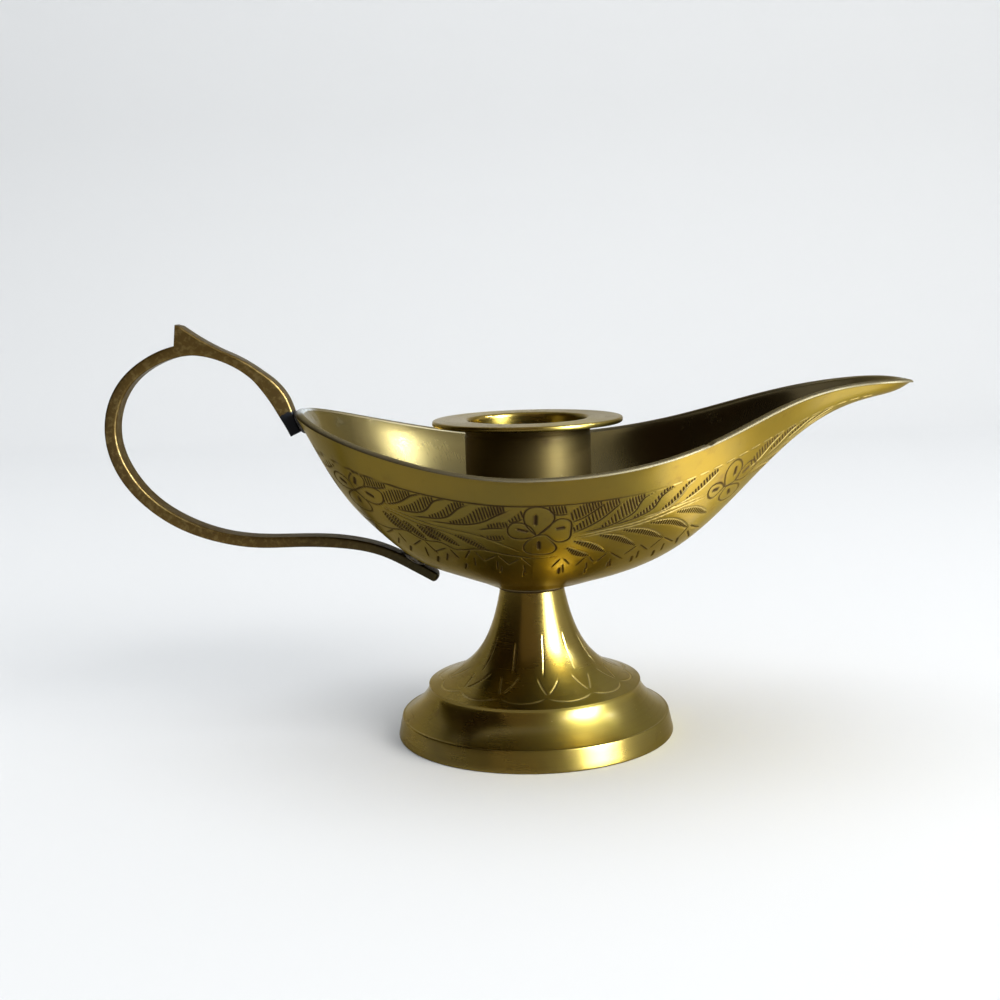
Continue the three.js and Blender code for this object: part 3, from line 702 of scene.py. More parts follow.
def wall_pattern():
    """All strokes on one side of the bowl: rim line, leaves, flowers, stems, border, twigs and drops.

    Towards the spout the rim line rises by a smooth step and is broken into unsoiled dashes, drawn pale as
    bright-cut metal and painted glints.
    """
    x = np.arange(RIM_LINE_START, RIM_LINE_END, RIM_LINE_STEP)
    line = np.stack([x, RIM_LINE_DOWN - RIM_LINE_RISE * smoothstep(RISE_START, RISE_END, x)], axis=1)
    cuts = [(line[x < WHOLE_LINE_END], LINE_CUT)]
    cuts += [(dash, FLARE_CUT) for dash in np.array_split(line[x > DASHES_START], DASHES)]
    for edge, tops in LEAVES:
        cuts.append((flowing(edge), LINE_CUT if edge[0][0] < CLEAN_GLINT_LEAVES_FROM else STEM_CUT))
        cuts += hatching(edge, tops)
    for edge in LOWER_LEAVES:
        cuts.append(stem(edge))
        cuts += beaded(edge)
    cuts += [(flowing(petal), LINE_CUT) for petal in PETALS]
    cuts += [(flowing(slit), SLIT_CUT) for slit in SLITS]
    cuts += [stem(points) for points in STEMS]
    cuts.append((flowing(BORDER), LINE_CUT))
    wander = np.random.default_rng(TWIG_SEED).uniform(-1, 1, (len(TWIGS), 6))
    for top, shifts in zip(TWIGS, wander):
        cuts += twig(np.array(top), shifts)
    for along, down in DROPS:
        drop = np.array([(along, down - DROP_HALF), (along - DROP_LEAN, down + DROP_HALF)])
        cuts.append((respaced(drop, DROP_STEPS), DROP_CUT))
    return cuts


def on_wall(places):
    """Points of the viewer's side of the wall, for stations along the lamp and distances below the rim.

    At each station the distance is stepped off along the cross-section from the rim.
    """
    x, down = places.T
    share = np.linspace(1, 0, SECTION_STEPS)
    keel, top = keel_height(x)[:, None], rim_height(x)[:, None]
    y = rim_width(x)[:, None] * share
    z = keel + (top - keel) * share**SECTION_POWER
    steps = np.hypot(np.diff(y, axis=1), np.diff(z, axis=1))
    length = np.concatenate([np.zeros((len(x), 1)), np.cumsum(steps, axis=1)], axis=1)
    found = np.array([np.interp(far, row, share) for far, row in zip(down, length)])
    y = -rim_width(x) * found
    return np.stack([x, y, wall_height(x, y) + FOOT_HEIGHT], axis=1)


def distance_to_path(points, path):
    """Each point's least distance to a polyline, and the share of its length where that is."""
    start, leg = path[:-1], np.diff(path, axis=0)
    away = points[:, None] - start
    share = np.clip((away * leg).sum(-1) / np.maximum((leg * leg).sum(-1), LEAST_LENGTH), 0, 1)
    gap = np.linalg.norm(away - share[..., None] * leg, axis=-1)
    nearest = gap.argmin(axis=1)
    row = np.arange(len(points))
    along = (nearest + share[row, nearest]) / len(leg)
    return gap[row, nearest], along


def engraved(points, cuts):
    """How deep each grid point is cut, how soiled it is, and how pale an unsoiled cut is drawn, as bright-cut
    metal and a painted glint.

    A cut is a V across its stroke: depth x (1 - distance / half width). Depth and width taper to the
    stroke's ends. Soil and its haze fade as exp(-(distance / reach) ** 2), and an unsoiled cut has a soiled
    burr beside it.
    """
    flat = points.reshape(-1, 3)
    depth, soil, clean_glint = np.zeros((3, len(flat)))
    for path, (half_width, deep, dirt) in cuts:
        inside = (flat > path.min(0) - CUT_REACH) & (flat < path.max(0) + CUT_REACH)
        near = np.nonzero(inside.all(axis=1))[0]
        if len(near) == 0:
            continue
        gap, along = distance_to_path(flat[near], path)
        closed = np.allclose(path[0], path[-1])
        swell = 1.0 if closed else np.clip(TAPER_RATE * np.minimum(along, 1 - along) + TAPER_START, 0, 1)
        cut = np.clip(1 - gap / (half_width * swell), 0, 1)
        depth[near] = np.maximum(depth[near], deep * swell * cut)
        blurred = swell * np.exp(-((gap / (SOIL_REACH * half_width)) ** 2))
        haze = HAZE * swell * np.exp(-((gap / HAZE_REACH) ** 2))
        burr = BURR * swell * np.exp(-((gap / half_width - BURR_PLACE) ** 2) / BURR_SPREAD)
        soil[near] = np.maximum(soil[near], np.maximum(dirt * blurred, haze) if dirt else burr)
        # Unsoiled cuts are marked to be drawn pale: bright-cut metal and a painted glint
        clean_glint[near] = np.maximum(clean_glint[near], (dirt == 0) * blurred)
    return [values.reshape(points.shape[:2]) for values in (depth, soil, clean_glint)]


# Bowl pieces

PLAIN_BELOW = 0.26
PLAIN_ABOVE = 0.9
PLAIN_ROWS = 14
CUT_ROWS = 156
# Heights above the seat over which the wall is darkened at its joint with the foot: dirt and painted shade
WALL_JOINT_DIRT_AND_SHADE = (0.5, 0.6)
INSIDE_SKIP = 4
CROWN_ROWS = 17
CROWN_POWER = 0.8
INNER_LOW = 0.08
INNER_HIGH = 0.995
INNER_ROWS = 90
PAD_RING = 6
SEAT_BEVEL_WIDTH = 0.2
SEAT_BEVEL_HEIGHT = 0.15
# Heights above the seat over which the seat is darkened at its joint with the foot: dirt and painted shade
SEAT_JOINT_DIRT_AND_SHADE = (0.3, 0.55)
TARNISH_AT_RIM = 0.25
# How much the inside is darkened towards the spout, between two stations along the lamp
SPOUT_DARKENING = 0.92
SPOUT_DARKENING_START = 6
SPOUT_DARKENING_END = 36


def bowl_pieces():
    """Bowl: six spans of the engraved wall, and one piece for rim, inside, floor and seat.

    The far side's cuts mirror those of the viewer's side.
    """
    rim = bowl_rim()
    shares = np.concatenate([
        np.linspace(0, PLAIN_BELOW, PLAIN_ROWS, endpoint=False),
        np.linspace(PLAIN_BELOW, PLAIN_ABOVE, CUT_ROWS, endpoint=False),
        np.linspace(PLAIN_ABOVE, 1, PLAIN_ROWS),
    ])
    plain = wall_grid(rim, shares)
    outward = wall_directions(plain, shares)
    near = slice(0, WALL_SPANS * WALL_COLUMNS + 1)
    cuts = [(on_wall(path), cut) for path, cut in wall_pattern()]
    halves = engraved(plain[:, near], cuts)
    depth, soil, clean_glint = (np.concatenate([half, half[:, -2:0:-1]], axis=1) for half in halves)
    wall = plain - outward * depth[..., None]
    normals = grid_normals(wall, wraps=True)
    # Dirt and painted shade in the joint where the wall meets the foot
    joint = 1 - smoothstep(*WALL_JOINT_DIRT_AND_SHADE, plain[..., 2] - FOOT_HEIGHT)
    fields = {"soil": np.maximum(soil, joint), "clean_glint": clean_glint, "around": around_rim(rim) + 0 * depth}
    places = ("bow", "middle", "spout")
    names = [f"bowl_wall_near_{place}" for place in places]
    names += [f"bowl_wall_far_{place}" for place in reversed(places)]
    pieces = []
    for k, name in enumerate(names):
        columns = np.arange(k * WALL_COLUMNS, (k + 1) * WALL_COLUMNS + 1) % len(rim)
        part = {field: values[:, columns] for field, values in fields.items()}
        span = surface(name, wall[:, columns], "bowl", False, normals[:, columns], part)
        pieces.append(span)
    return pieces + [bowl_inside(rim, plain, outward, shares)]


def rim_crown(edge, level):
    """The rim's round top: half an oval across the wall's thickness, by a cosine across and a sine up.

    The nick on the viewer's side is a bell along the rim: depth x exp(-(distance / reach) ** 2).
    """
    turn = np.linspace(0, math.pi, CROWN_ROWS)[:, None, None]
    lift = RIM_ROUND * np.sin(turn) ** CROWN_POWER * UPRIGHT
    crown = edge - level * WALL * (1 - np.cos(turn)) / 2 + lift
    nick = NICK_DEPTH * np.exp(-(((edge[:, 0] - NICK_PLACE) / NICK_REACH) ** 2)) * (edge[:, 1] < 0)
    crown[..., 2] -= nick * np.sin(turn[..., 0]) ** 2
    return crown


def bowl_inside(rim, wall, outward, shares):
    """Rim, inner wall, floor, stud hole and seat as one grid, from the wall's upper edge to its lower one.

    The inner wall is the outer one moved in by the wall's thickness. It is tarnished more the deeper it lies,
    and darkened towards the spout by a smooth step.
    """
    every = slice(None, None, INSIDE_SKIP)
    wall, outward = wall[:, every], outward[:, every]
    crown = rim_crown(wall[-1], outward[-1])
    keep = np.unique(np.searchsorted(shares, np.linspace(INNER_LOW, INNER_HIGH, INNER_ROWS)))[::-1]
    inner = wall[keep] - outward[keep] * WALL
    angle = np.arctan2(rim[every, 1], rim[every, 0])

    def ring(radius, height):
        """A circle round the axis at a height above the seat."""
        return round_axis(radius, angle, height + FOOT_HEIGHT)

    floor = [ring(radius, FLOOR) for radius in (SEAT_RADIUS + FLOOR_PAD, PAD_RING, STUD_HOLE)]
    seat = [ring(STUD_HOLE, 0), ring(SEAT_RADIUS - SEAT_BEVEL_WIDTH, 0), ring(SEAT_RADIUS, SEAT_BEVEL_HEIGHT)]
    rows = np.concatenate([crown, inner, np.array(floor + seat), wall[:1]])
    below = len(rows) - len(crown) - len(inner)
    worn = np.concatenate([np.ones(len(crown)), np.zeros(len(inner) + below)])
    deep = np.concatenate([np.zeros(len(crown)), np.linspace(TARNISH_AT_RIM, 1, len(inner)), np.ones(below)])
    spoutward_dark = SPOUT_DARKENING * smoothstep(SPOUT_DARKENING_START, SPOUT_DARKENING_END, rows[..., 0]) * (deep > 0)[:, None]
    fields = {
        "around": around_rim(rim)[every] + 0 * rows[..., 0],
        # The seat darkened at its joint with the foot: dirt and painted shade
        "soil": 1 - smoothstep(*SEAT_JOINT_DIRT_AND_SHADE, rows[..., 2] - FOOT_HEIGHT),
        "edge": per_row(worn, rows),
        "deep": np.maximum(deep[:, None], spoutward_dark),
    }
    normals = grid_normals(rows, wraps=True)
    normals[0] = outward[-1]
    return surface("bowl_inside", rows, "bowl", True, normals, fields)


# Foot pieces

FLARE_STEPS = 300
FLARE_ROWS = 168
COVE_STEPS = 40
HOLLOW_STEPS = 25
HOLE_EDGE = 0.2
RING_EDGE = 0.3
BASE_EDGE = 0.35
CREASE_EDGE = 0.12
CREASE_POINTS = 3
STEP_EDGE = 0.1

# Marks on the trumpet, as degrees from the front and radii
FLARE_MARKS = 12
FLARE_PHASE = 6.8
FLARE_SEED = 4
SCALLOP_POINT = 17.1
SCALLOP_DIP = 19.0
SCALLOP_BENDS = (0.3, 0.7)
SCALLOP_STEPS = 24
VEE_TOP = 12.8
VEE_FEET = (16.6, 16.4)
VEE_LEFT = 5.6
VEE_RIGHT = 12
LONG_STROKE = (8.3, 12.3)
LONG_STROKE_PLACE = 2
FLARE_STROKE_STEPS = 14


def flare_height(radius):
    """The trumpet: a hyperbola from the step's edge to the stem's top."""
    near = 1 / (STEP_HEIGHT - FLARE_LEVEL)
    far = 1 / (FOOT_HEIGHT - FLARE_LEVEL)
    spread = (STEP_RADIUS - STEM_TOP_RADIUS) / (near - far)
    return FLARE_LEVEL + 1 / (far + (radius - STEM_TOP_RADIUS) / spread)


def on_flare(places):
    """Points of the trumpet, for angles in degrees from the front and radii."""
    angle = np.radians(places[:, 0] - 90)
    radius = places[:, 1]
    return round_axis(radius, angle, flare_height(radius))


def flare_pattern():
    """A ring of scallops near the step, with a V and a long stroke above each point between two scallops.

    The scallops are Bezier curves, and the straight strokes wander a little.
    """
    paths = []
    step = 360 / FLARE_MARKS
    wander = np.random.default_rng(FLARE_SEED).uniform(-1, 1, (FLARE_MARKS, 4))
    for k in range(FLARE_MARKS):
        angle = FLARE_PHASE + step * k
        a, b, c, d = wander[k]
        bends = [(angle + bend * step, SCALLOP_DIP) for bend in SCALLOP_BENDS]
        paths.append(bezier([(angle, SCALLOP_POINT), *bends, (angle + step, SCALLOP_POINT)], SCALLOP_STEPS))
        left = [(angle + a, VEE_FEET[0]), (angle - VEE_LEFT + a, VEE_TOP + 0.4 * b)]
        right = [(angle + 1 + a, VEE_FEET[1]), (angle + VEE_RIGHT + 2 * b, VEE_TOP + 0.5 * c)]
        middle = angle + LONG_STROKE_PLACE
        above = [(middle + 3 * c, LONG_STROKE[0] + 0.3 * d), (middle + 2 * d, LONG_STROKE[1] + 0.4 * a)]
        paths += [respaced(np.array(ends), FLARE_STROKE_STEPS) for ends in (left, right, above)]
    return [(on_flare(path), FLARE_CUT) for path in paths]


def foot_outline(flare_edge):
    """The foot below its trumpet: down the stud's hole, out by the hollow, and up over band, cove and step.

    Hollow and cove are parabolas.
    """
    ring = BASE_RADIUS - BASE_RING
    band_top = BASE_RADIUS - BAND_TAPER
    cove_top = STEP_HEIGHT - STEP_LAND
    cove_knee = (STEP_RADIUS + COVE_KNEE, (BAND_HEIGHT + cove_top) / 2)
    cove = parabola((band_top - BAND_CREASE, BAND_HEIGHT), cove_knee, (STEP_RADIUS, cove_top), COVE_STEPS)
    hollow_knee = (STEP_RADIUS, HOLLOW_HEIGHT / 2)
    hollow = parabola((HOLLOW_TOP_RADIUS, HOLLOW_HEIGHT), hollow_knee, (ring, 0), HOLLOW_STEPS)
    hole = softened([
        (STEM_TOP_RADIUS, FOOT_HEIGHT, 0), (STUD_HOLE, FOOT_HEIGHT, HOLE_EDGE),
        (STUD_HOLE, HOLLOW_HEIGHT, HOLE_EDGE), (HOLLOW_TOP_RADIUS, HOLLOW_HEIGHT, 0),
    ])
    band = softened([
        (*hollow[-2], 0), (ring, 0, RING_EDGE), (BASE_RADIUS, 0, BASE_EDGE),
        (band_top, BAND_HEIGHT, RING_EDGE), (*cove[0], CREASE_EDGE), (*cove[CREASE_POINTS], 0),
    ])
    step = softened([
        (*cove[-2], 0), (*cove[-1], STEP_EDGE), (STEP_RADIUS, STEP_HEIGHT - STEP_EDGE, STEP_EDGE),
        (*flare_edge, 0),
    ])
    return np.concatenate([hole[:-1], hollow[:-2], band[:-1], cove[CREASE_POINTS:-2], step])


def foot_pieces():
    """Foot: the engraved trumpet, with closer rows near the stem, and the spun outline of the rest."""
    quarter = np.linspace(0, math.pi / 2, FLARE_STEPS)
    radius = STEP_RADIUS - (STEP_RADIUS - STEM_TOP_RADIUS) * np.sin(quarter)
    curve = respaced(np.stack([radius, flare_height(radius)], axis=1), FLARE_ROWS)
    plain = spun(curve, FLARE_COLUMNS)
    depth, soil, clean_glint = engraved(plain, flare_pattern())
    flare = plain - grid_normals(plain, wraps=True) * depth[..., None]
    fields = {"soil": soil, "clean_glint": clean_glint}
    trumpet = surface("foot_trumpet", flare, "foot", fields=fields)
    rest = spun(foot_outline(curve[0]), TURNED_COLUMNS)
    return [trumpet, surface("foot_base", rest, "foot")]


# Socket piece

STUD_DEPTH = 5
STUD_HOLE_CORNER = 0.1
SOCKET_HOLE_EDGE = 0.2
SOCKET_BASE_EDGE = 0.3
SWELL_STEPS = 16
GROOVE_DEPTH = 0.12
GROOVE_FOOT = 2.0
GROOVE_LOW = 1.8
GROOVE_HIGH = 1.5
GROOVE_TOP = 1.3
GROOVE_LIP = 0.1
GROOVE_CORNER = 0.08
FLANGE_ROOT = 0.5
FLANGE_UNDER_EDGE = 0.42
FLANGE_TOP_EDGE = 0.46
BORE_EDGE = 0.75
BORE_FLOOR_EDGE = 0.6
TUBE_TARNISH = 0.72
TARNISH_INSET = 0.2
TARNISH_OUTSET = 0.6


def socket_piece():
    """Candle socket: the stud's hole, outside up from the base over the flange, and down the bore.

    The base swells to the tube as a quarter of an ellipse. The tube is tarnished outside.
    """
    foot, top = SOCKET_FOOT, SOCKET_TOP
    under = top - FLANGE_THICKNESS
    groove = TUBE_RADIUS - GROOVE_DEPTH
    bore_floor = foot + SOCKET_FLOOR_HEIGHT
    quarter = np.linspace(0, math.pi / 2, SWELL_STEPS)
    swell = np.stack([
        SOCKET_BASE_RADIUS + (TUBE_RADIUS - SOCKET_BASE_RADIUS) * np.sin(quarter),
        foot + SOCKET_BASE_HEIGHT + SOCKET_SWELL * (1 - np.cos(quarter)),
    ], axis=1)
    lower = softened([
        (0, foot + STUD_DEPTH, 0), (STUD_HOLE, foot + STUD_DEPTH, STUD_HOLE_CORNER),
        (STUD_HOLE, foot, SOCKET_HOLE_EDGE), (SOCKET_BASE_RADIUS, foot, SOCKET_BASE_EDGE), (*swell[0], 0),
    ])
    upper = softened([
        (*swell[-1], 0), (TUBE_RADIUS, under - GROOVE_FOOT, GROOVE_LIP),
        (groove, under - GROOVE_LOW, GROOVE_CORNER), (groove, under - GROOVE_HIGH, GROOVE_CORNER),
        (TUBE_RADIUS, under - GROOVE_TOP, GROOVE_LIP),
        (TUBE_RADIUS, under, FLANGE_ROOT), (FLANGE_RADIUS, under, FLANGE_UNDER_EDGE),
        (FLANGE_RADIUS, top, FLANGE_TOP_EDGE), (CANDLE_BORE, top, BORE_EDGE),
        (CANDLE_BORE, bore_floor, BORE_FLOOR_EDGE), (0, bore_floor, 0),
    ])
    outline = np.concatenate([lower[:-1], swell[:-1], upper])
    radius, height = outline.T
    rows = spun(outline, TURNED_COLUMNS)
    tube = (radius > TUBE_RADIUS - TARNISH_INSET) & (radius < TUBE_RADIUS + TARNISH_OUTSET)
    fields = {"soil": per_row(TUBE_TARNISH * (tube & (height < under)), rows)}
    return surface("socket_body", rows, "candle_socket", fields=fields)


# Handle piece

SLOPE_STEP = 0.02
STRAP_LINE_POINTS = 1200
STRAP_POINTS = 1500
CORNER_POINTS = 7
SECTION_STRETCH = 0.5
ARM_ROWS = 190
HEEL_ROWS = np.array([0.06, 0.12, 0.2])
LOOP_START = 0.4
LOOP_ROWS = 300
HEEL_CUT = 0.03
TOE_START = 0.5
TOE_END = 2
TIP_DROOP = 0.1
TIP_DROOP_REACH = 0.9
LONG_WAVE = 0.03
LONG_WAVE_REACH = 7.0
SHORT_WAVE = 0.02
SHORT_WAVE_REACH = 2.3
TAIL_THINNING = 0.16
THINNING_START = 0.55
THINNING_END = 0.95
SCORCH_BEFORE = 1.2
SCORCH_AFTER = 0.6
CAP_SHARES = np.array([0, 0.5, 0.85, 0.97])
NOSE_ROWS = 8
NOSE_LENGTH = 0.9


def bow_point(share, offset):
    """The bow's wall in the middle plane, moved outwards by an offset: [along, up].

    The share is that of the way from seat to rim. The direction is square to the keel, and a power of the
    share turns it level at the rim.
    """
    x = -(SEAT_RADIUS + (BOW_REACH - SEAT_RADIUS) * np.asarray(share, float))
    slope = (keel_height(x + SLOPE_STEP) - keel_height(x - SLOPE_STEP)) / (2 * SLOPE_STEP)
    normal = np.stack([slope, np.asarray(share) ** RIM_TURN - 1 + 0 * slope], axis=-1)
    normal /= np.linalg.norm(normal, axis=-1, keepdims=True)
    return np.stack([x, keel_height(x)], axis=-1) + normal * np.asarray(offset)[..., None]


def bow_share(radius):
    """The share of the way out at which the bow's wall has a given radius."""
    return (radius - SEAT_RADIUS) / (BOW_REACH - SEAT_RADIUS)


def strap_line():
    """The strap's middle line in the middle plane: a spline from the upper joint to the tail."""
    lift = STANDOFF + STRAP_THICKNESS / 2
    joint = [bow_point(JOINT_LOW, lift), bow_point(JOINT_HIGH, lift)]
    loop_points = [(along - BOW_REACH, up + BOW_HEIGHT) for along, up in HANDLE_POINTS]
    touch = bow_point(bow_share(TAIL_RADIUS), lift - TAIL_BEDDING)
    return splined(np.array([*joint, *loop_points, touch, touch + TAIL_KICK]), STRAP_LINE_POINTS)


def strap_section():
    """The strap's section as (outward, across): an oblong with a quarter circle at each corner."""
    half = np.array([STRAP_THICKNESS, STRAP_WIDTH]) / 2
    turn = np.linspace(0, math.pi / 2, CORNER_POINTS)
    places = []
    for k, corner in enumerate([(1, 1), (-1, 1), (-1, -1), (1, -1)]):
        centre = (half - STRAP_CORNER) * corner
        angle = turn + k * math.pi / 2
        places.append(centre + STRAP_CORNER * np.stack([np.cos(angle), np.sin(angle)], axis=1))
    ring = np.concatenate(places)
    return divided(np.concatenate([ring, ring[:1]]), SECTION_STRETCH)[:-1]


def bulge(stations, size, place, reach):
    """A smooth rise at a place along the strap: size x (1 - (distance / reach) ** 2) ** 2."""
    return size * np.clip(1 - ((stations - place) / reach) ** 2, 0, 1) ** 2


def thumb_rise(stations, middle, out, swell, toe, heel):
    """How far the thumb-piece stands over the strap at stations along it.

    Its top is a straight line from toe to tip. A station's reach to it is where the outward ray from the
    strap's middle meets that line: the ratio of two cross products. Smooth steps ease its toe and lower
    its tip.
    """
    tip = np.array(THUMB_TIP) + (-BOW_REACH, BOW_HEIGHT)
    top = np.subtract(THUMB_TOE, THUMB_TIP)
    rise = crossed(tip - middle, top) / crossed(out, top) - STRAP_THICKNESS / 2 - swell
    thumb = np.clip(rise, 0, None) * smoothstep(toe - TOE_START, toe + TOE_END, stations)
    thumb = np.where(stations > heel + HEEL_CUT, 0, thumb)
    return thumb * (1 - TIP_DROOP * smoothstep(heel - TIP_DROOP_REACH, heel, stations))


def strap_rows(middle, out, along, scale, swell, thumb):
    """The strap's section at each station: its thickness scaled, swollen, and raised on the outer side.

    What is raised for the thumb-piece leans back along the strap, by a share of its rise.
    """
    section = strap_section()
    outer = section[:, 0] > 0
    raised = outer * thumb[:, None]
    reach = section[:, 0] * scale[:, None] + np.where(outer, 1, -1) * swell[:, None] + raised
    flat = middle[:, None] + out[:, None] * reach[..., None]
    flat -= along[:, None] * (THUMB_LEAN * raised)[..., None]
    places = np.broadcast_arrays(flat[..., 0], section[:, 1], flat[..., 1] + FOOT_HEIGHT)
    return np.stack(places, axis=-1)


def handle_piece():
    """Handle: the strap's section carried along its line, with the thumb-piece on its outer side.

    Two sine waves wear the thickness, which a smooth step thins towards the tail. Smooth steps also give the
    scorch at the joint and the darkening towards the tail.
    """
    line = respaced(strap_line(), STRAP_POINTS)
    length = arc_lengths(line)
    tangent = np.gradient(line, axis=0)
    tangent /= np.linalg.norm(tangent, axis=1, keepdims=True)
    outward = np.stack([tangent[:, 1], -tangent[:, 0]], axis=1)
    upper_third = line[: len(line) // 3]
    from_rim = upper_third[:, 0] + BOW_REACH
    toe, heel = (length[np.argmin(np.abs(from_rim - along))] for along in (THUMB_TOE[0], THUMB_HEEL))
    arm, loop = np.linspace(0, heel, ARM_ROWS), np.linspace(heel + LOOP_START, length[-1], LOOP_ROWS)
    stations = np.concatenate([arm, heel + HEEL_ROWS, loop])
    middle, out, along = (at_lengths(stations, length, array) for array in (line, outward, tangent))
    swell = bulge(stations, ARM_SWELL, SWELL_PLACE, SWELL_REACH)
    swell -= bulge(stations, ARM_SLIM, SLIM_PLACE, SLIM_REACH)
    thumb = thumb_rise(stations, middle, out, swell, toe, heel)
    worn = 1 + LONG_WAVE * np.sin(stations / LONG_WAVE_REACH)
    worn += SHORT_WAVE * np.sin(stations / SHORT_WAVE_REACH + 1)
    thinned = 1 - TAIL_THINNING * smoothstep(THINNING_START, THINNING_END, stations / length[-1])
    rows = strap_rows(middle, out, along, worn * thinned, swell, thumb)
    start_cap, end_cap = strap_caps(rows, along)
    rows = np.concatenate([start_cap, rows, end_cap])
    place = np.concatenate([np.zeros(len(start_cap)), stations, np.full(len(end_cap), length[-1])])
    scorch = 1 - smoothstep(SCORCH_LENGTH - SCORCH_BEFORE, SCORCH_LENGTH + SCORCH_AFTER, place)
    tail = smoothstep(length[-1] - TAIL_DARK_REACH, length[-1], place)
    fields = {"scorch": per_row(scorch, rows), "tail": per_row(tail, rows)}
    return surface("handle_strap", rows, "handle", fields=fields)


def strap_caps(rows, along):
    """Rings that close the strap: a flat cut at its upper end and a round nose at its tail.

    The nose shrinks by a cosine while it moves on by a sine.
    """
    first, last = rows[0], rows[-1]
    start = first.mean(0) + (first - first.mean(0)) * CAP_SHARES[:, None, None]
    turn = np.linspace(0, math.pi / 2, NOSE_ROWS)[1:, None, None]
    heading = np.array([along[-1, 0], 0, along[-1, 1]])
    nose = last.mean(0) + (last - last.mean(0)) * np.cos(turn) + heading * NOSE_LENGTH * np.sin(turn)
    return start, nose


# Braze pieces

BRAZE_ROWS = 40
BRAZE_COLUMNS = 48
BRAZE_LUMP = 0.06
LUMPS_ROUND = 7
RIPPLE_RADIANS = 9
BRAZE_CLOSING = 4
BRAZE_SQUARENESS = 0.6
BRAZE_OVERFILL = 0.12
BRAZE_OVERHANG = 0.28
BRAZE_CREEP = 0.004
BRAZE_SPREAD = 0.3


def squarer(wave):
    """A sine or cosine made squarer: its size to a power under 1, with its sign."""
    return np.sign(wave) * np.abs(wave) ** BRAZE_SQUARENESS


def braze_bead(name, low, high):
    """A bead of braze between bow and strap: squarish ovals carried up the bow, wider than the strap.

    Sine waves make it lumpy, and a root of 1 - distance ** power closes it at both ends.
    """
    share = np.linspace(low, high, BRAZE_ROWS)
    angle = np.linspace(0, TURN, BRAZE_COLUMNS, endpoint=False)
    ripple = np.sin(np.linspace(0, RIPPLE_RADIANS, BRAZE_ROWS))[:, None]
    lump = 1 + BRAZE_LUMP * np.sin(LUMPS_ROUND * angle)[None] * ripple
    close = np.sqrt(np.clip(1 - np.linspace(-1, 1, BRAZE_ROWS) ** BRAZE_CLOSING, 0, 1))[:, None]
    offset = STANDOFF / 2 + (STANDOFF / 2 + BRAZE_OVERFILL) * squarer(np.cos(angle)) * close * lump
    across = (STRAP_WIDTH / 2 + BRAZE_OVERHANG) * squarer(np.sin(angle)) * close * lump
    flat = bow_point(share[:, None] + 0 * offset, offset)
    x = -np.sqrt(np.maximum(flat[..., 0] ** 2 - across**2, 0))
    rows = np.stack([x, across, flat[..., 1] + FOOT_HEIGHT], axis=-1)
    return surface(name, rows, name)


# Stud, washer and nut

STUD_ROWS = 300
STUD_COLUMNS = 40
STUD_CHAMFER = 0.6
WASHER_COLUMNS = 96
WASHER_HOLE_EDGE = 0.1
WASHER_EDGE = 0.15
NUT_COLUMNS = 144
NUT_END = 0.7
NUT_END_ROWS = 8
NUT_CONE = 0.97
NUT_CONE_SLOPE = 1.8
NUT_HOLE_INSET = 0.25
NUT_MOUTH = 0.3


def stud_piece():
    """Threaded stud: its radius follows a triangle wave of height less turn, and its ends are chamfered."""
    low, high = stud_low[2], stud_high[2]
    height = np.linspace(low, high, STUD_ROWS)[:, None]
    angle = even_turn(STUD_COLUMNS)
    wave = np.abs(((height / THREAD_PITCH - angle / TURN) % 1) * 2 - 1)
    chamfer = np.minimum(np.minimum(height - low, high - height), STUD_CHAMFER) - STUD_CHAMFER
    rows = round_axis(STUD_RADIUS - THREAD_DEPTH * wave + chamfer, angle, height)
    rows = np.concatenate([rows[:1] * UPRIGHT, rows, rows[-1:] * UPRIGHT])
    return surface("stud_thread", rows, "stem_stud")


def washer_piece():
    """Flat washer: a rounded oblong spun round the axis."""
    low, high = washer_low[2], washer_high[2]
    middle = (low + high) / 2
    radius = washer_high[1]
    outline = softened([
        (STUD_HOLE, middle, 0), (STUD_HOLE, low, WASHER_HOLE_EDGE), (radius, low, WASHER_EDGE),
        (radius, high, WASHER_EDGE), (STUD_HOLE, high, WASHER_HOLE_EDGE), (STUD_HOLE, middle, 0),
    ])
    return surface("washer_ring", spun(outline, WASHER_COLUMNS), "stud_washer")


def nut_piece():
    """Hexagon nut: the radius to the flats, cut down at both ends by a cone, round a plain hole."""
    low, high = nut_low[2], nut_high[2]
    half = nut_high[1]
    angle = even_turn(NUT_COLUMNS)
    sixth = TURN / 6
    hexagon = half / np.cos((angle % sixth) - sixth / 2)
    ends = [(low, low + NUT_END), (high - NUT_END, high)]
    height = np.concatenate([np.linspace(*end, NUT_END_ROWS) for end in ends])
    cone = half * NUT_CONE + NUT_CONE_SLOPE * np.minimum(height - low, high - height)
    side = np.minimum(hexagon, cone[:, None])
    hole = np.full_like(angle, STUD_HOLE - NUT_HOLE_INSET)
    mouth = hole + NUT_MOUTH
    radius = np.concatenate([[hole, mouth], side, [mouth, hole, hole]])
    level = np.concatenate([[low + NUT_MOUTH, low], height, [high, high - NUT_MOUTH, low + NUT_MOUTH]])
    return surface("nut_hexagon", round_axis(radius, angle, level[:, None]), "stud_nut")


# Materials


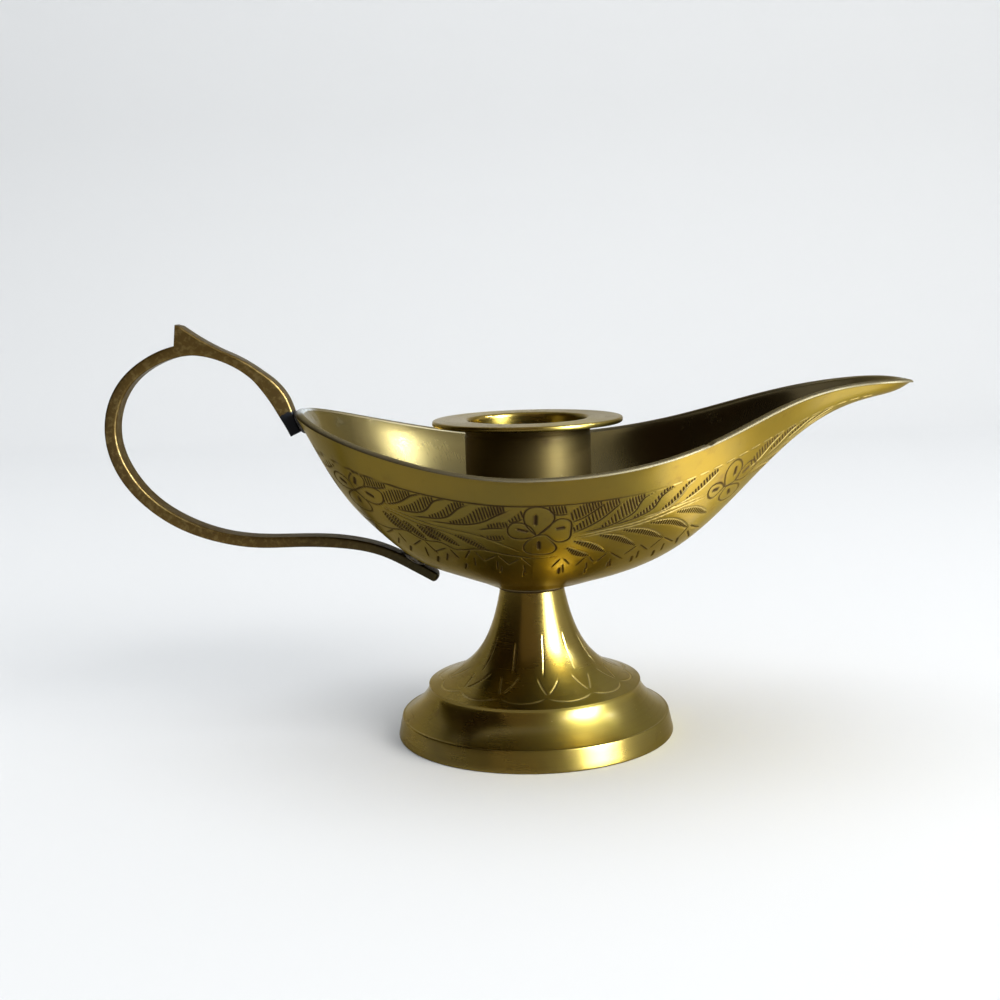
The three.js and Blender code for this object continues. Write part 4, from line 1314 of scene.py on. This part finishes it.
class Wire:
    """One socket of a node tree. Sums, differences, products and powers add Math nodes."""

    def __init__(self, tree, socket=None):
        self.tree = tree
        self.socket = socket

    def node(self, kind, settings, inputs, output=0):
        """Adds a node. Its settings are set first, then its sockets' values or links. Returns one output."""
        made = self.tree.nodes.new(kind)
        for name, value in settings.items():
            setattr(made, name, value)
        for name, value in inputs.items():
            if isinstance(value, Wire):
                self.tree.links.new(value.socket, made.inputs[name])
            else:
                made.inputs[name].default_value = value
        return Wire(self.tree, made.outputs[output])

    def math(self, operation, a, b):
        """One Math node on two values or sockets."""
        return self.node("ShaderNodeMath", {"operation": operation}, {0: a, 1: b})

    def __add__(self, other):
        return self.math("ADD", self, other)

    __radd__ = __add__

    def __sub__(self, other):
        return self.math("SUBTRACT", self, other)

    def __rsub__(self, other):
        return self.math("SUBTRACT", other, self)

    def __mul__(self, other):
        return self.math("MULTIPLY", self, other)

    __rmul__ = __mul__

    def __pow__(self, other):
        return self.math("POWER", self, other)

    def __rpow__(self, other):
        return self.math("POWER", other, self)

    def clipped(self, low, high):
        """0 below low, 1 above high, and a smooth cubic between."""
        return self.node("ShaderNodeMapRange", {"interpolation_type": "SMOOTHSTEP"},
                         {"Value": self, "From Min": low, "From Max": high})

    def mixed(self, first, second):
        """Two colours mixed by this value: the first at 0, the second at 1."""
        return self.node("ShaderNodeMix", {"data_type": "RGBA"}, {0: self, 6: first, 7: second}, output=2)


class Finish:
    """A material in the making: its Principled shader, and the places and patterns that finishes share."""

    def __init__(self, name):
        self.material = bpy.data.materials.new(name)
        self.material.use_nodes = True
        self.tree = self.material.node_tree
        self.shader = self.tree.nodes["Principled BSDF"]
        self.start = Wire(self.tree)
        self.place = self.start.node("ShaderNodeTexCoord", {}, {}, output="Object")

    def field(self, name):
        """A number that the piece carries at each point."""
        return self.start.node("ShaderNodeAttribute", {"attribute_name": name}, {}, output="Fac")

    def noise(self, size, detail=3.0, vector=None, rough=0.55):
        """Noise whose lumps are about size millimetres across."""
        scale = 1 / (size * MM)
        return self.start.node("ShaderNodeTexNoise", {}, {
            "Vector": vector or self.place, "Scale": scale, "Detail": detail, "Roughness": rough})

    def stretched(self, x, y, z):
        """The place, scaled along each axis."""
        return self.start.node("ShaderNodeMapping", {}, {"Vector": self.place, "Scale": (x, y, z)})

    def axes(self):
        """The place's x, y and z, with x from the foot's axis."""
        split = self.start.node("ShaderNodeSeparateXYZ", {}, {"Vector": self.place}).socket.node
        x, y, z = (Wire(self.tree, split.outputs[k]) for k in range(3))
        return x - AXIS_X * MM, y, z

    def joined(self, x, y, z):
        """A vector from three numbers."""
        return self.start.node("ShaderNodeCombineXYZ", {}, {"X": x, "Y": y, "Z": z})

    def bumped(self, height, distance):
        """A normal from a height of 0 to 1, raised by a distance in millimetres."""
        return self.start.node("ShaderNodeBump", {}, {
            "Strength": 1.0, "Distance": distance * MM, "Height": height})

    def done(self, **sockets):
        """Sets the shader's sockets, by value or by link, and returns the material."""
        for name, value in sockets.items():
            socket = self.shader.inputs[name.replace("_", " ").title()]
            if isinstance(value, Wire):
                self.tree.links.new(value.socket, socket)
            else:
                socket.default_value = value
        return self.material


GOLD = (0.172, 0.116, 0.018, 1)
OLIVE = (0.140, 0.102, 0.018, 1)
BROWN = (0.085, 0.045, 0.014, 1)
# Dark soil in the cuts and on the tube, and dirt and painted shade at the seat's joint
SOIL_AND_SHADE = (0.030, 0.016, 0.006, 1)
# Pale metal: pale specks, and unsoiled cuts drawn pale as bright-cut metal and a painted glint
PALE_METAL_AND_GLINT = (0.30, 0.225, 0.075, 1)
WORN_EDGE = (0.062, 0.049, 0.032, 1)
PALE_INSIDE = (0.108, 0.089, 0.042, 1)
DEEP_TARNISH = (0.028, 0.020, 0.011, 1)
SOLDER = (0.24, 0.23, 0.21, 1)
GRAZING = (0.68, 0.57, 0.32, 1)
CAST_GOLD = (0.096, 0.059, 0.016, 1)
CAST_BROWN = (0.066, 0.040, 0.013, 1)
CAST_PALE = (0.190, 0.135, 0.050, 1)
CAST_GRAZING = (0.54, 0.52, 0.48, 1)
TAIL_BLACK = (0.022, 0.021, 0.011, 1)
SCALE_BLACK = (0.010, 0.010, 0.012, 1)
BRAZE_GREY = (0.13, 0.115, 0.09, 1)
BRAZE_SCALE = (0.02, 0.018, 0.017, 1)
ZINC = (0.42, 0.42, 0.40, 1)
RUST = (0.16, 0.075, 0.035, 1)
SMEAR_NEAR = 3
SMEAR_FAR = 9


def patina(finish, gold, olive):
    """Brass tones: broad clouds from gold to olive, with brown stains."""
    clouds = finish.noise(22, 4).clipped(0.36, 0.66)
    stains = finish.noise(5, 5, rough=0.65).clipped(0.55, 0.78)
    tone = clouds.mixed(gold, olive)
    return (stains * 0.55).mixed(tone, BROWN), clouds, stains


def engraved_brass():
    """The bowl: satin brass with streaks down its wall. It is dark in soiled cuts and at the seat's joint,
    where dirt and painted shade are drawn, and pale in unsoiled cuts, as bright-cut metal and a painted
    glint.

    The rim's edge is worn, the inside is tarnished more the deeper it lies, and solder lies grey on the bow.
    """
    finish = Finish("engraved_brass")
    tone, clouds, stains = patina(finish, GOLD, OLIVE)
    z = finish.axes()[2]
    streaks = finish.noise(1, 2, finish.joined(finish.field("around") * MM * 5, z * 0.35, 0.0))
    pits = finish.noise(0.35, 2).clipped(0.70, 0.78)
    dark = (finish.field("soil") * (0.9 + 0.3 * stains)).clipped(0.12, 0.85)
    clean_glint = finish.field("clean_glint").clipped(0.3, 0.9)
    worn = finish.field("edge") * (0.75 + 0.25 * streaks)
    deep = finish.field("deep")
    inside = deep.clipped(0.0, 0.2)
    tone = (inside * (0.5 + 0.4 * stains)).mixed(tone, PALE_INSIDE)
    tone = (deep * (0.6 + 0.4 * clouds)).mixed(tone, DEEP_TARNISH)
    tone = (pits * 0.5).mixed(tone, BROWN)
    tone = worn.mixed(tone, WORN_EDGE)
    # Unsoiled cuts drawn pale: bright-cut metal and a painted glint
    tone = clean_glint.mixed(tone, PALE_METAL_AND_GLINT)
    # Soil darkens the cuts, and at the seat's joint it is dirt and painted shade
    tone = dark.mixed(tone, SOIL_AND_SHADE)
    bow = finish.start.node("ShaderNodeVectorMath", {"operation": "DISTANCE"}, {
        0: finish.place, 1: tuple(to_frame([-BOW_REACH, 0, BOW_HEIGHT + FOOT_HEIGHT]))}, output="Value")
    ragged = 0.5 + 0.5 * finish.noise(1.6, 4).clipped(0.36, 0.54)
    smear = (1 - bow.clipped(SMEAR_NEAR * MM, SMEAR_FAR * MM)) * ragged
    tone = smear.mixed(tone, SOLDER)
    rough = 0.26 - 0.10 * inside + 0.10 * clouds + 0.10 * streaks + 0.10 * stains
    rough = rough + 0.2 * dark + 0.3 * worn + 0.1 * smear
    return finish.done(
        base_color=tone, metallic=1 - 0.15 * dark, roughness=rough, specular_tint=GRAZING,
        coat_weight=(0.15 + 0.1 * inside) * (1 - dark) * (1 - worn), coat_roughness=0.2,
        normal=finish.bumped(streaks * 0.6 + finish.noise(0.5, 3) * 0.4, 0.010),
    )


def turned_brass():
    """Foot and socket: satin brass with fine lines round the axis, pale specks, and unsoiled cuts drawn pale
    as bright-cut metal and a painted glint.
    """
    finish = Finish("turned_brass")
    tone, clouds, stains = patina(finish, GOLD, OLIVE)
    x, y, z = finish.axes()
    radius = (x * x + y * y) ** 0.5
    lines = finish.noise(0.5, 2, finish.joined(radius, z, 0.0))
    pits = finish.noise(0.4, 2).clipped(0.70, 0.78)
    specks = finish.noise(0.75, 1).clipped(0.76, 0.82)
    dark = finish.field("soil").clipped(0.12, 0.85)
    clean_glint = finish.field("clean_glint").clipped(0.3, 0.9)
    tone = (lines.clipped(0.45, 0.75) * 0.15).mixed(tone, BROWN)
    tone = (pits * 0.6).mixed(tone, BROWN)
    tone = (specks * 0.7).mixed(tone, PALE_METAL_AND_GLINT)
    # Unsoiled cuts drawn pale: bright-cut metal and a painted glint
    tone = clean_glint.mixed(tone, PALE_METAL_AND_GLINT)
    tone = (dark * 0.87).mixed(tone, SOIL_AND_SHADE)
    rough = 0.20 + 0.10 * clouds + 0.10 * lines + 0.08 * stains + 0.32 * dark
    return finish.done(
        base_color=tone, metallic=1 - 0.3 * dark, roughness=rough, specular_tint=GRAZING, anisotropic=0.6,
        anisotropic_rotation=0.25, coat_weight=0.28 * (1 - dark), coat_roughness=0.2,
        normal=finish.bumped(lines * 0.75 + finish.noise(0.6, 2) * 0.25, 0.005),
    )


def cast_brass():
    """Handle: browner cast brass, mottled and filed along its length, black with scale at the upper joint.

    It is darkened nearly black towards the tail.
    """
    finish = Finish("cast_brass")
    tone, clouds, stains = patina(finish, CAST_GOLD, CAST_BROWN)
    scorch = (finish.field("scorch") + 1.4 * (finish.noise(1.4, 4) - 0.5)).clipped(0.35, 0.6)
    mottle = finish.noise(1.2, 4, rough=0.7).clipped(0.47, 0.64)
    pits = finish.noise(0.45, 4).clipped(0.60, 0.74)
    tone = (mottle * 0.5).mixed(tone, CAST_PALE)
    tone = (pits * 0.6).mixed(tone, BROWN)
    # Darker towards the tail, nearly black
    tone = (finish.field("tail") * 0.85).mixed(tone, TAIL_BLACK)
    tone = scorch.mixed(tone, SCALE_BLACK)
    file_marks = finish.noise(0.5, 3, finish.stretched(0.2, 1, 0.2))
    rough = 0.32 + 0.15 * clouds + 0.12 * stains + 0.2 * pits + 0.15 * scorch
    return finish.done(
        base_color=tone, metallic=1 - 0.2 * scorch, roughness=rough, specular_tint=CAST_GRAZING,
        normal=finish.bumped(file_marks * 0.4 + finish.noise(0.6, 4) * 0.6, 0.05),
    )


def braze_metal():
    """Braze: dull grey brass with black scale."""
    finish = Finish("braze_metal")
    scale = finish.noise(1.4, 5, rough=0.7).clipped(0.38, 0.6)
    tone = scale.mixed(BRAZE_GREY, BRAZE_SCALE)
    return finish.done(
        base_color=tone, metallic=1 - 0.6 * scale, roughness=0.4 + 0.3 * scale,
        normal=finish.bumped(finish.noise(0.5, 4), 0.06),
    )


def fixing_steel():
    """Stud, washer and nut: dull zinc-plated steel with brown rust in places."""
    finish = Finish("fixing_steel")
    rust = finish.noise(2.5, 5, rough=0.7).clipped(0.52, 0.7)
    tone = rust.mixed(ZINC, RUST)
    return finish.done(
        base_color=tone, metallic=1 - 0.8 * rust, roughness=0.36 + 0.35 * rust,
        normal=finish.bumped(finish.noise(0.4, 3), 0.02),
    )


def dressed(pieces, material):
    """Gives pieces their material."""
    for piece in pieces:
        piece.data.materials.append(material)


# Stage

# Camera as fitted to the photograph, in millimetres and radians
CAMERA_PLACE = (-1.71, -261.89, 84.80)
CAMERA_YAW = -0.0148
CAMERA_PITCH = 0.1514
CAMERA_ROLL = -0.0313
CAMERA_LENS = 50.4
SENSOR_WIDTH = 36

# The rest of the stage, with lengths in metres
NEAREST_SEEN = 0.01
SPOT_RADIUS = 0.06
SPOT_ANGLE = math.radians(5)
SPOT_BLEND = 0.4
FLOOR_ROWS = [-0.6, -0.3, 0, 0.3]
FLOOR_REACH = 0.5
FLOOR_SWEEP = 0.2
FLOOR_DROP = 0.00002
FLOOR_HALF_WIDTH = 1.1
FLOOR_COLUMNS = 13
SWEEP_ROWS = 24
BACKDROP_TOP = 2.5
CARD_RADIUS = 0.75
CARD_FOOT = 0.02
CARD_TOP = 1.3
CARD_COLUMNS = 15
CARD_ROUGHNESS = 0.9
FLOOR_ROUGHNESS = 0.7
PALE_PAINT = (0.77, 0.775, 0.78, 1)
DARK_PAINT = (0.042, 0.025, 0.015, 1)
BROWN_PAINT = (0.33, 0.25, 0.16, 1)
SEEN_WORLD = (0.97, 0.985, 1, 1)
SOFT_WORLD = (0.93, 0.97, 1, 1)
SOFT_WORLD_STRENGTH = 0.45

# Cards round the lamp, as (name, start, end, paint), in degrees from the front
CARDS = [("dark_card", -118, -36, DARK_PAINT), ("brown_card", -36, 32, BROWN_PAINT)]

# Lamps, as (name, place, aim, size, power, colour), for reflections and then for matt paint
MIRRORED_LAMPS = [
    ("window", (0.60, -0.43, 0.31), (0, 0, 0.05), (0.46, 0.60), 26, (0.9, 0.95, 1)),
    ("core", (0.58, -0.416, 0.302), (0, 0, 0.05), (0.14, 0.26), 30, (0.55, 0.74, 1)),
    ("pane", (0.60, 0.03, 0.51), (-0.024, 0.023, 0.056), None, 115, (0.8, 0.9, 1)),
    ("bounce", (0.090, -0.024, 0.004), (0.091, -0.024, 0.1), (0.10, 0.06), 0.08, (1, 0.98, 0.95)),
]
SOFT_LAMPS = [
    ("daylight", (0.62, -0.48, 0.42), (0, 0, 0.05), (0.5, 0.5), 6, (1, 0.98, 0.95)),
    ("ceiling", (-0.1, 0.1, 1.1), (0, 0, 0), (1.2, 1.2), 8, (0.96, 0.98, 1)),
]


def placed(thing, right, up, back, place):
    """Links a camera or lamp that looks away from its back, at a place in metres."""
    turned = np.eye(4)
    turned[:3] = np.stack([right, up, back, place], axis=1)
    thing.matrix_world = Matrix(turned)
    bpy.context.scene.collection.objects.link(thing)


def camera():
    """The photograph's view: yaw from +Y, pitch below the horizon, then roll about the line of sight."""
    data = bpy.data.cameras.new("view")
    data.lens = CAMERA_LENS
    data.sensor_width = SENSOR_WIDTH
    data.clip_start = NEAREST_SEEN
    yaw, pitch, roll = CAMERA_YAW, CAMERA_PITCH, CAMERA_ROLL
    forward = np.array([math.sin(yaw) * math.cos(pitch), math.cos(yaw) * math.cos(pitch), -math.sin(pitch)])
    level = np.array([math.cos(yaw), -math.sin(yaw), 0])
    upright = np.cross(level, forward)
    right = level * math.cos(roll) + upright * math.sin(roll)
    up = upright * math.cos(roll) - level * math.sin(roll)
    view = bpy.data.objects.new("view", data)
    placed(view, right, up, -forward, to_frame(CAMERA_PLACE))
    bpy.context.scene.camera = view


def lamp(name, place, aim, size, power, colour):
    """An oblong soft light at a place in metres, turned to its aim, or a narrow spot where it has no size."""
    data = bpy.data.lights.new(name, "AREA" if size else "SPOT")
    if size:
        data.shape = "RECTANGLE"
        data.size, data.size_y = size
    else:
        data.shadow_soft_size = SPOT_RADIUS
        data.spot_size = SPOT_ANGLE
        data.spot_blend = SPOT_BLEND
    data.energy = power
    data.color = colour
    light = bpy.data.objects.new(name, data)
    place, aim = np.array(place, float), np.array(aim, float)
    back = (place - aim) / np.linalg.norm(place - aim)
    side = np.cross(UPRIGHT, back)
    side /= np.linalg.norm(side)
    placed(light, side, np.cross(back, side), back, place)
    light.visible_camera = False
    return light


def stage_sheet(name, points, material):
    """A part of the stage over a grid of points in metres."""
    rows, columns = points.shape[:2]
    mesh = bpy.data.meshes.new(name)
    mesh.from_pydata(points.reshape(-1, 3).tolist(), [], quad_faces(rows, columns, False).tolist())
    mesh.polygons.foreach_set("use_smooth", np.ones(len(mesh.polygons), bool))
    mesh.materials.append(material)
    sheet = bpy.data.objects.new(name, mesh)
    bpy.context.scene.collection.objects.link(sheet)
    return sheet


def plain_paint(name, colour, roughness):
    """A plain matt paint, without gloss."""
    finish = Finish(name)
    finish.shader.inputs["Specular IOR Level"].default_value = 0
    return finish.done(base_color=colour, roughness=roughness)


def card(name, start, end, colour):
    """A card bent round the lamp, between two angles from the front in degrees, seen only in reflections."""
    angle = np.radians(np.linspace(start, end, CARD_COLUMNS) - 90)
    points = round_axis(CARD_RADIUS, angle, np.array([CARD_FOOT, CARD_TOP])[:, None])
    made = stage_sheet(name, points, plain_paint(name, colour, CARD_ROUGHNESS))
    made.visible_camera = False
    made.visible_shadow = False
    made.visible_diffuse = False


def floor():
    """Pale floor that sweeps up by a quarter circle into an upright backdrop."""
    turn = np.linspace(0, math.pi / 2, SWEEP_ROWS)
    back = FLOOR_REACH + FLOOR_SWEEP
    depth = np.concatenate([FLOOR_ROWS, FLOOR_REACH + FLOOR_SWEEP * np.sin(turn), [back]])[:, None]
    rise = np.concatenate([np.zeros(len(FLOOR_ROWS)), FLOOR_SWEEP * (1 - np.cos(turn)), [BACKDROP_TOP]])
    across = np.linspace(-FLOOR_HALF_WIDTH, FLOOR_HALF_WIDTH, FLOOR_COLUMNS)
    places = np.broadcast_arrays(across, depth, (rise - FLOOR_DROP)[:, None])
    stage_sheet("floor", np.stack(places, axis=-1), plain_paint("pale_paint", PALE_PAINT, FLOOR_ROUGHNESS))


def stage():
    """Floor and backdrop, a dark and a brown card beside the camera, lamps and a white world."""
    floor()
    for row in CARDS:
        card(*row)
    for row in MIRRORED_LAMPS:
        lamp(*row).visible_diffuse = False
    for row in SOFT_LAMPS:
        lamp(*row).visible_glossy = False
    world()


def world():
    """White where it is seen or mirrored, and a dimmer soft light elsewhere."""
    made = bpy.data.worlds.new("world")
    made.use_nodes = True
    tree = made.node_tree
    tree.nodes.clear()
    start = Wire(tree)
    path = start.node("ShaderNodeLightPath", {}, {}).socket.node
    camera_ray, glossy_ray, clear_ray = (
        Wire(tree, path.outputs[kind]) for kind in ("Is Camera Ray", "Is Glossy Ray", "Is Transmission Ray")
    )
    soft = start.node("ShaderNodeBackground", {}, {"Color": SOFT_WORLD, "Strength": SOFT_WORLD_STRENGTH})
    white = start.node("ShaderNodeBackground", {}, {"Color": SEEN_WORLD, "Strength": 1.0})
    seen = camera_ray + glossy_ray + clear_ray
    mixed = start.node("ShaderNodeMixShader", {}, {0: seen, 1: soft, 2: white})
    output = tree.nodes.new("ShaderNodeOutputWorld")
    tree.links.new(mixed.socket, output.inputs["Surface"])
    bpy.context.scene.world = made


camera()
dressed(bowl_pieces(), engraved_brass())
dressed(foot_pieces() + [socket_piece()], turned_brass())
dressed([handle_piece()], cast_brass())
tail = TAIL_CONTACT / 2 + BRAZE_SPREAD
dressed([
    braze_bead("upper_braze", JOINT_LOW - BRAZE_CREEP, JOINT_HIGH + BRAZE_CREEP),
    braze_bead("lower_braze", bow_share(TAIL_RADIUS - tail), bow_share(TAIL_RADIUS + tail)),
], braze_metal())
dressed([stud_piece(), washer_piece(), nut_piece()], fixing_steel())
stage()
bpy.context.scene.view_settings.view_transform = "Standard"
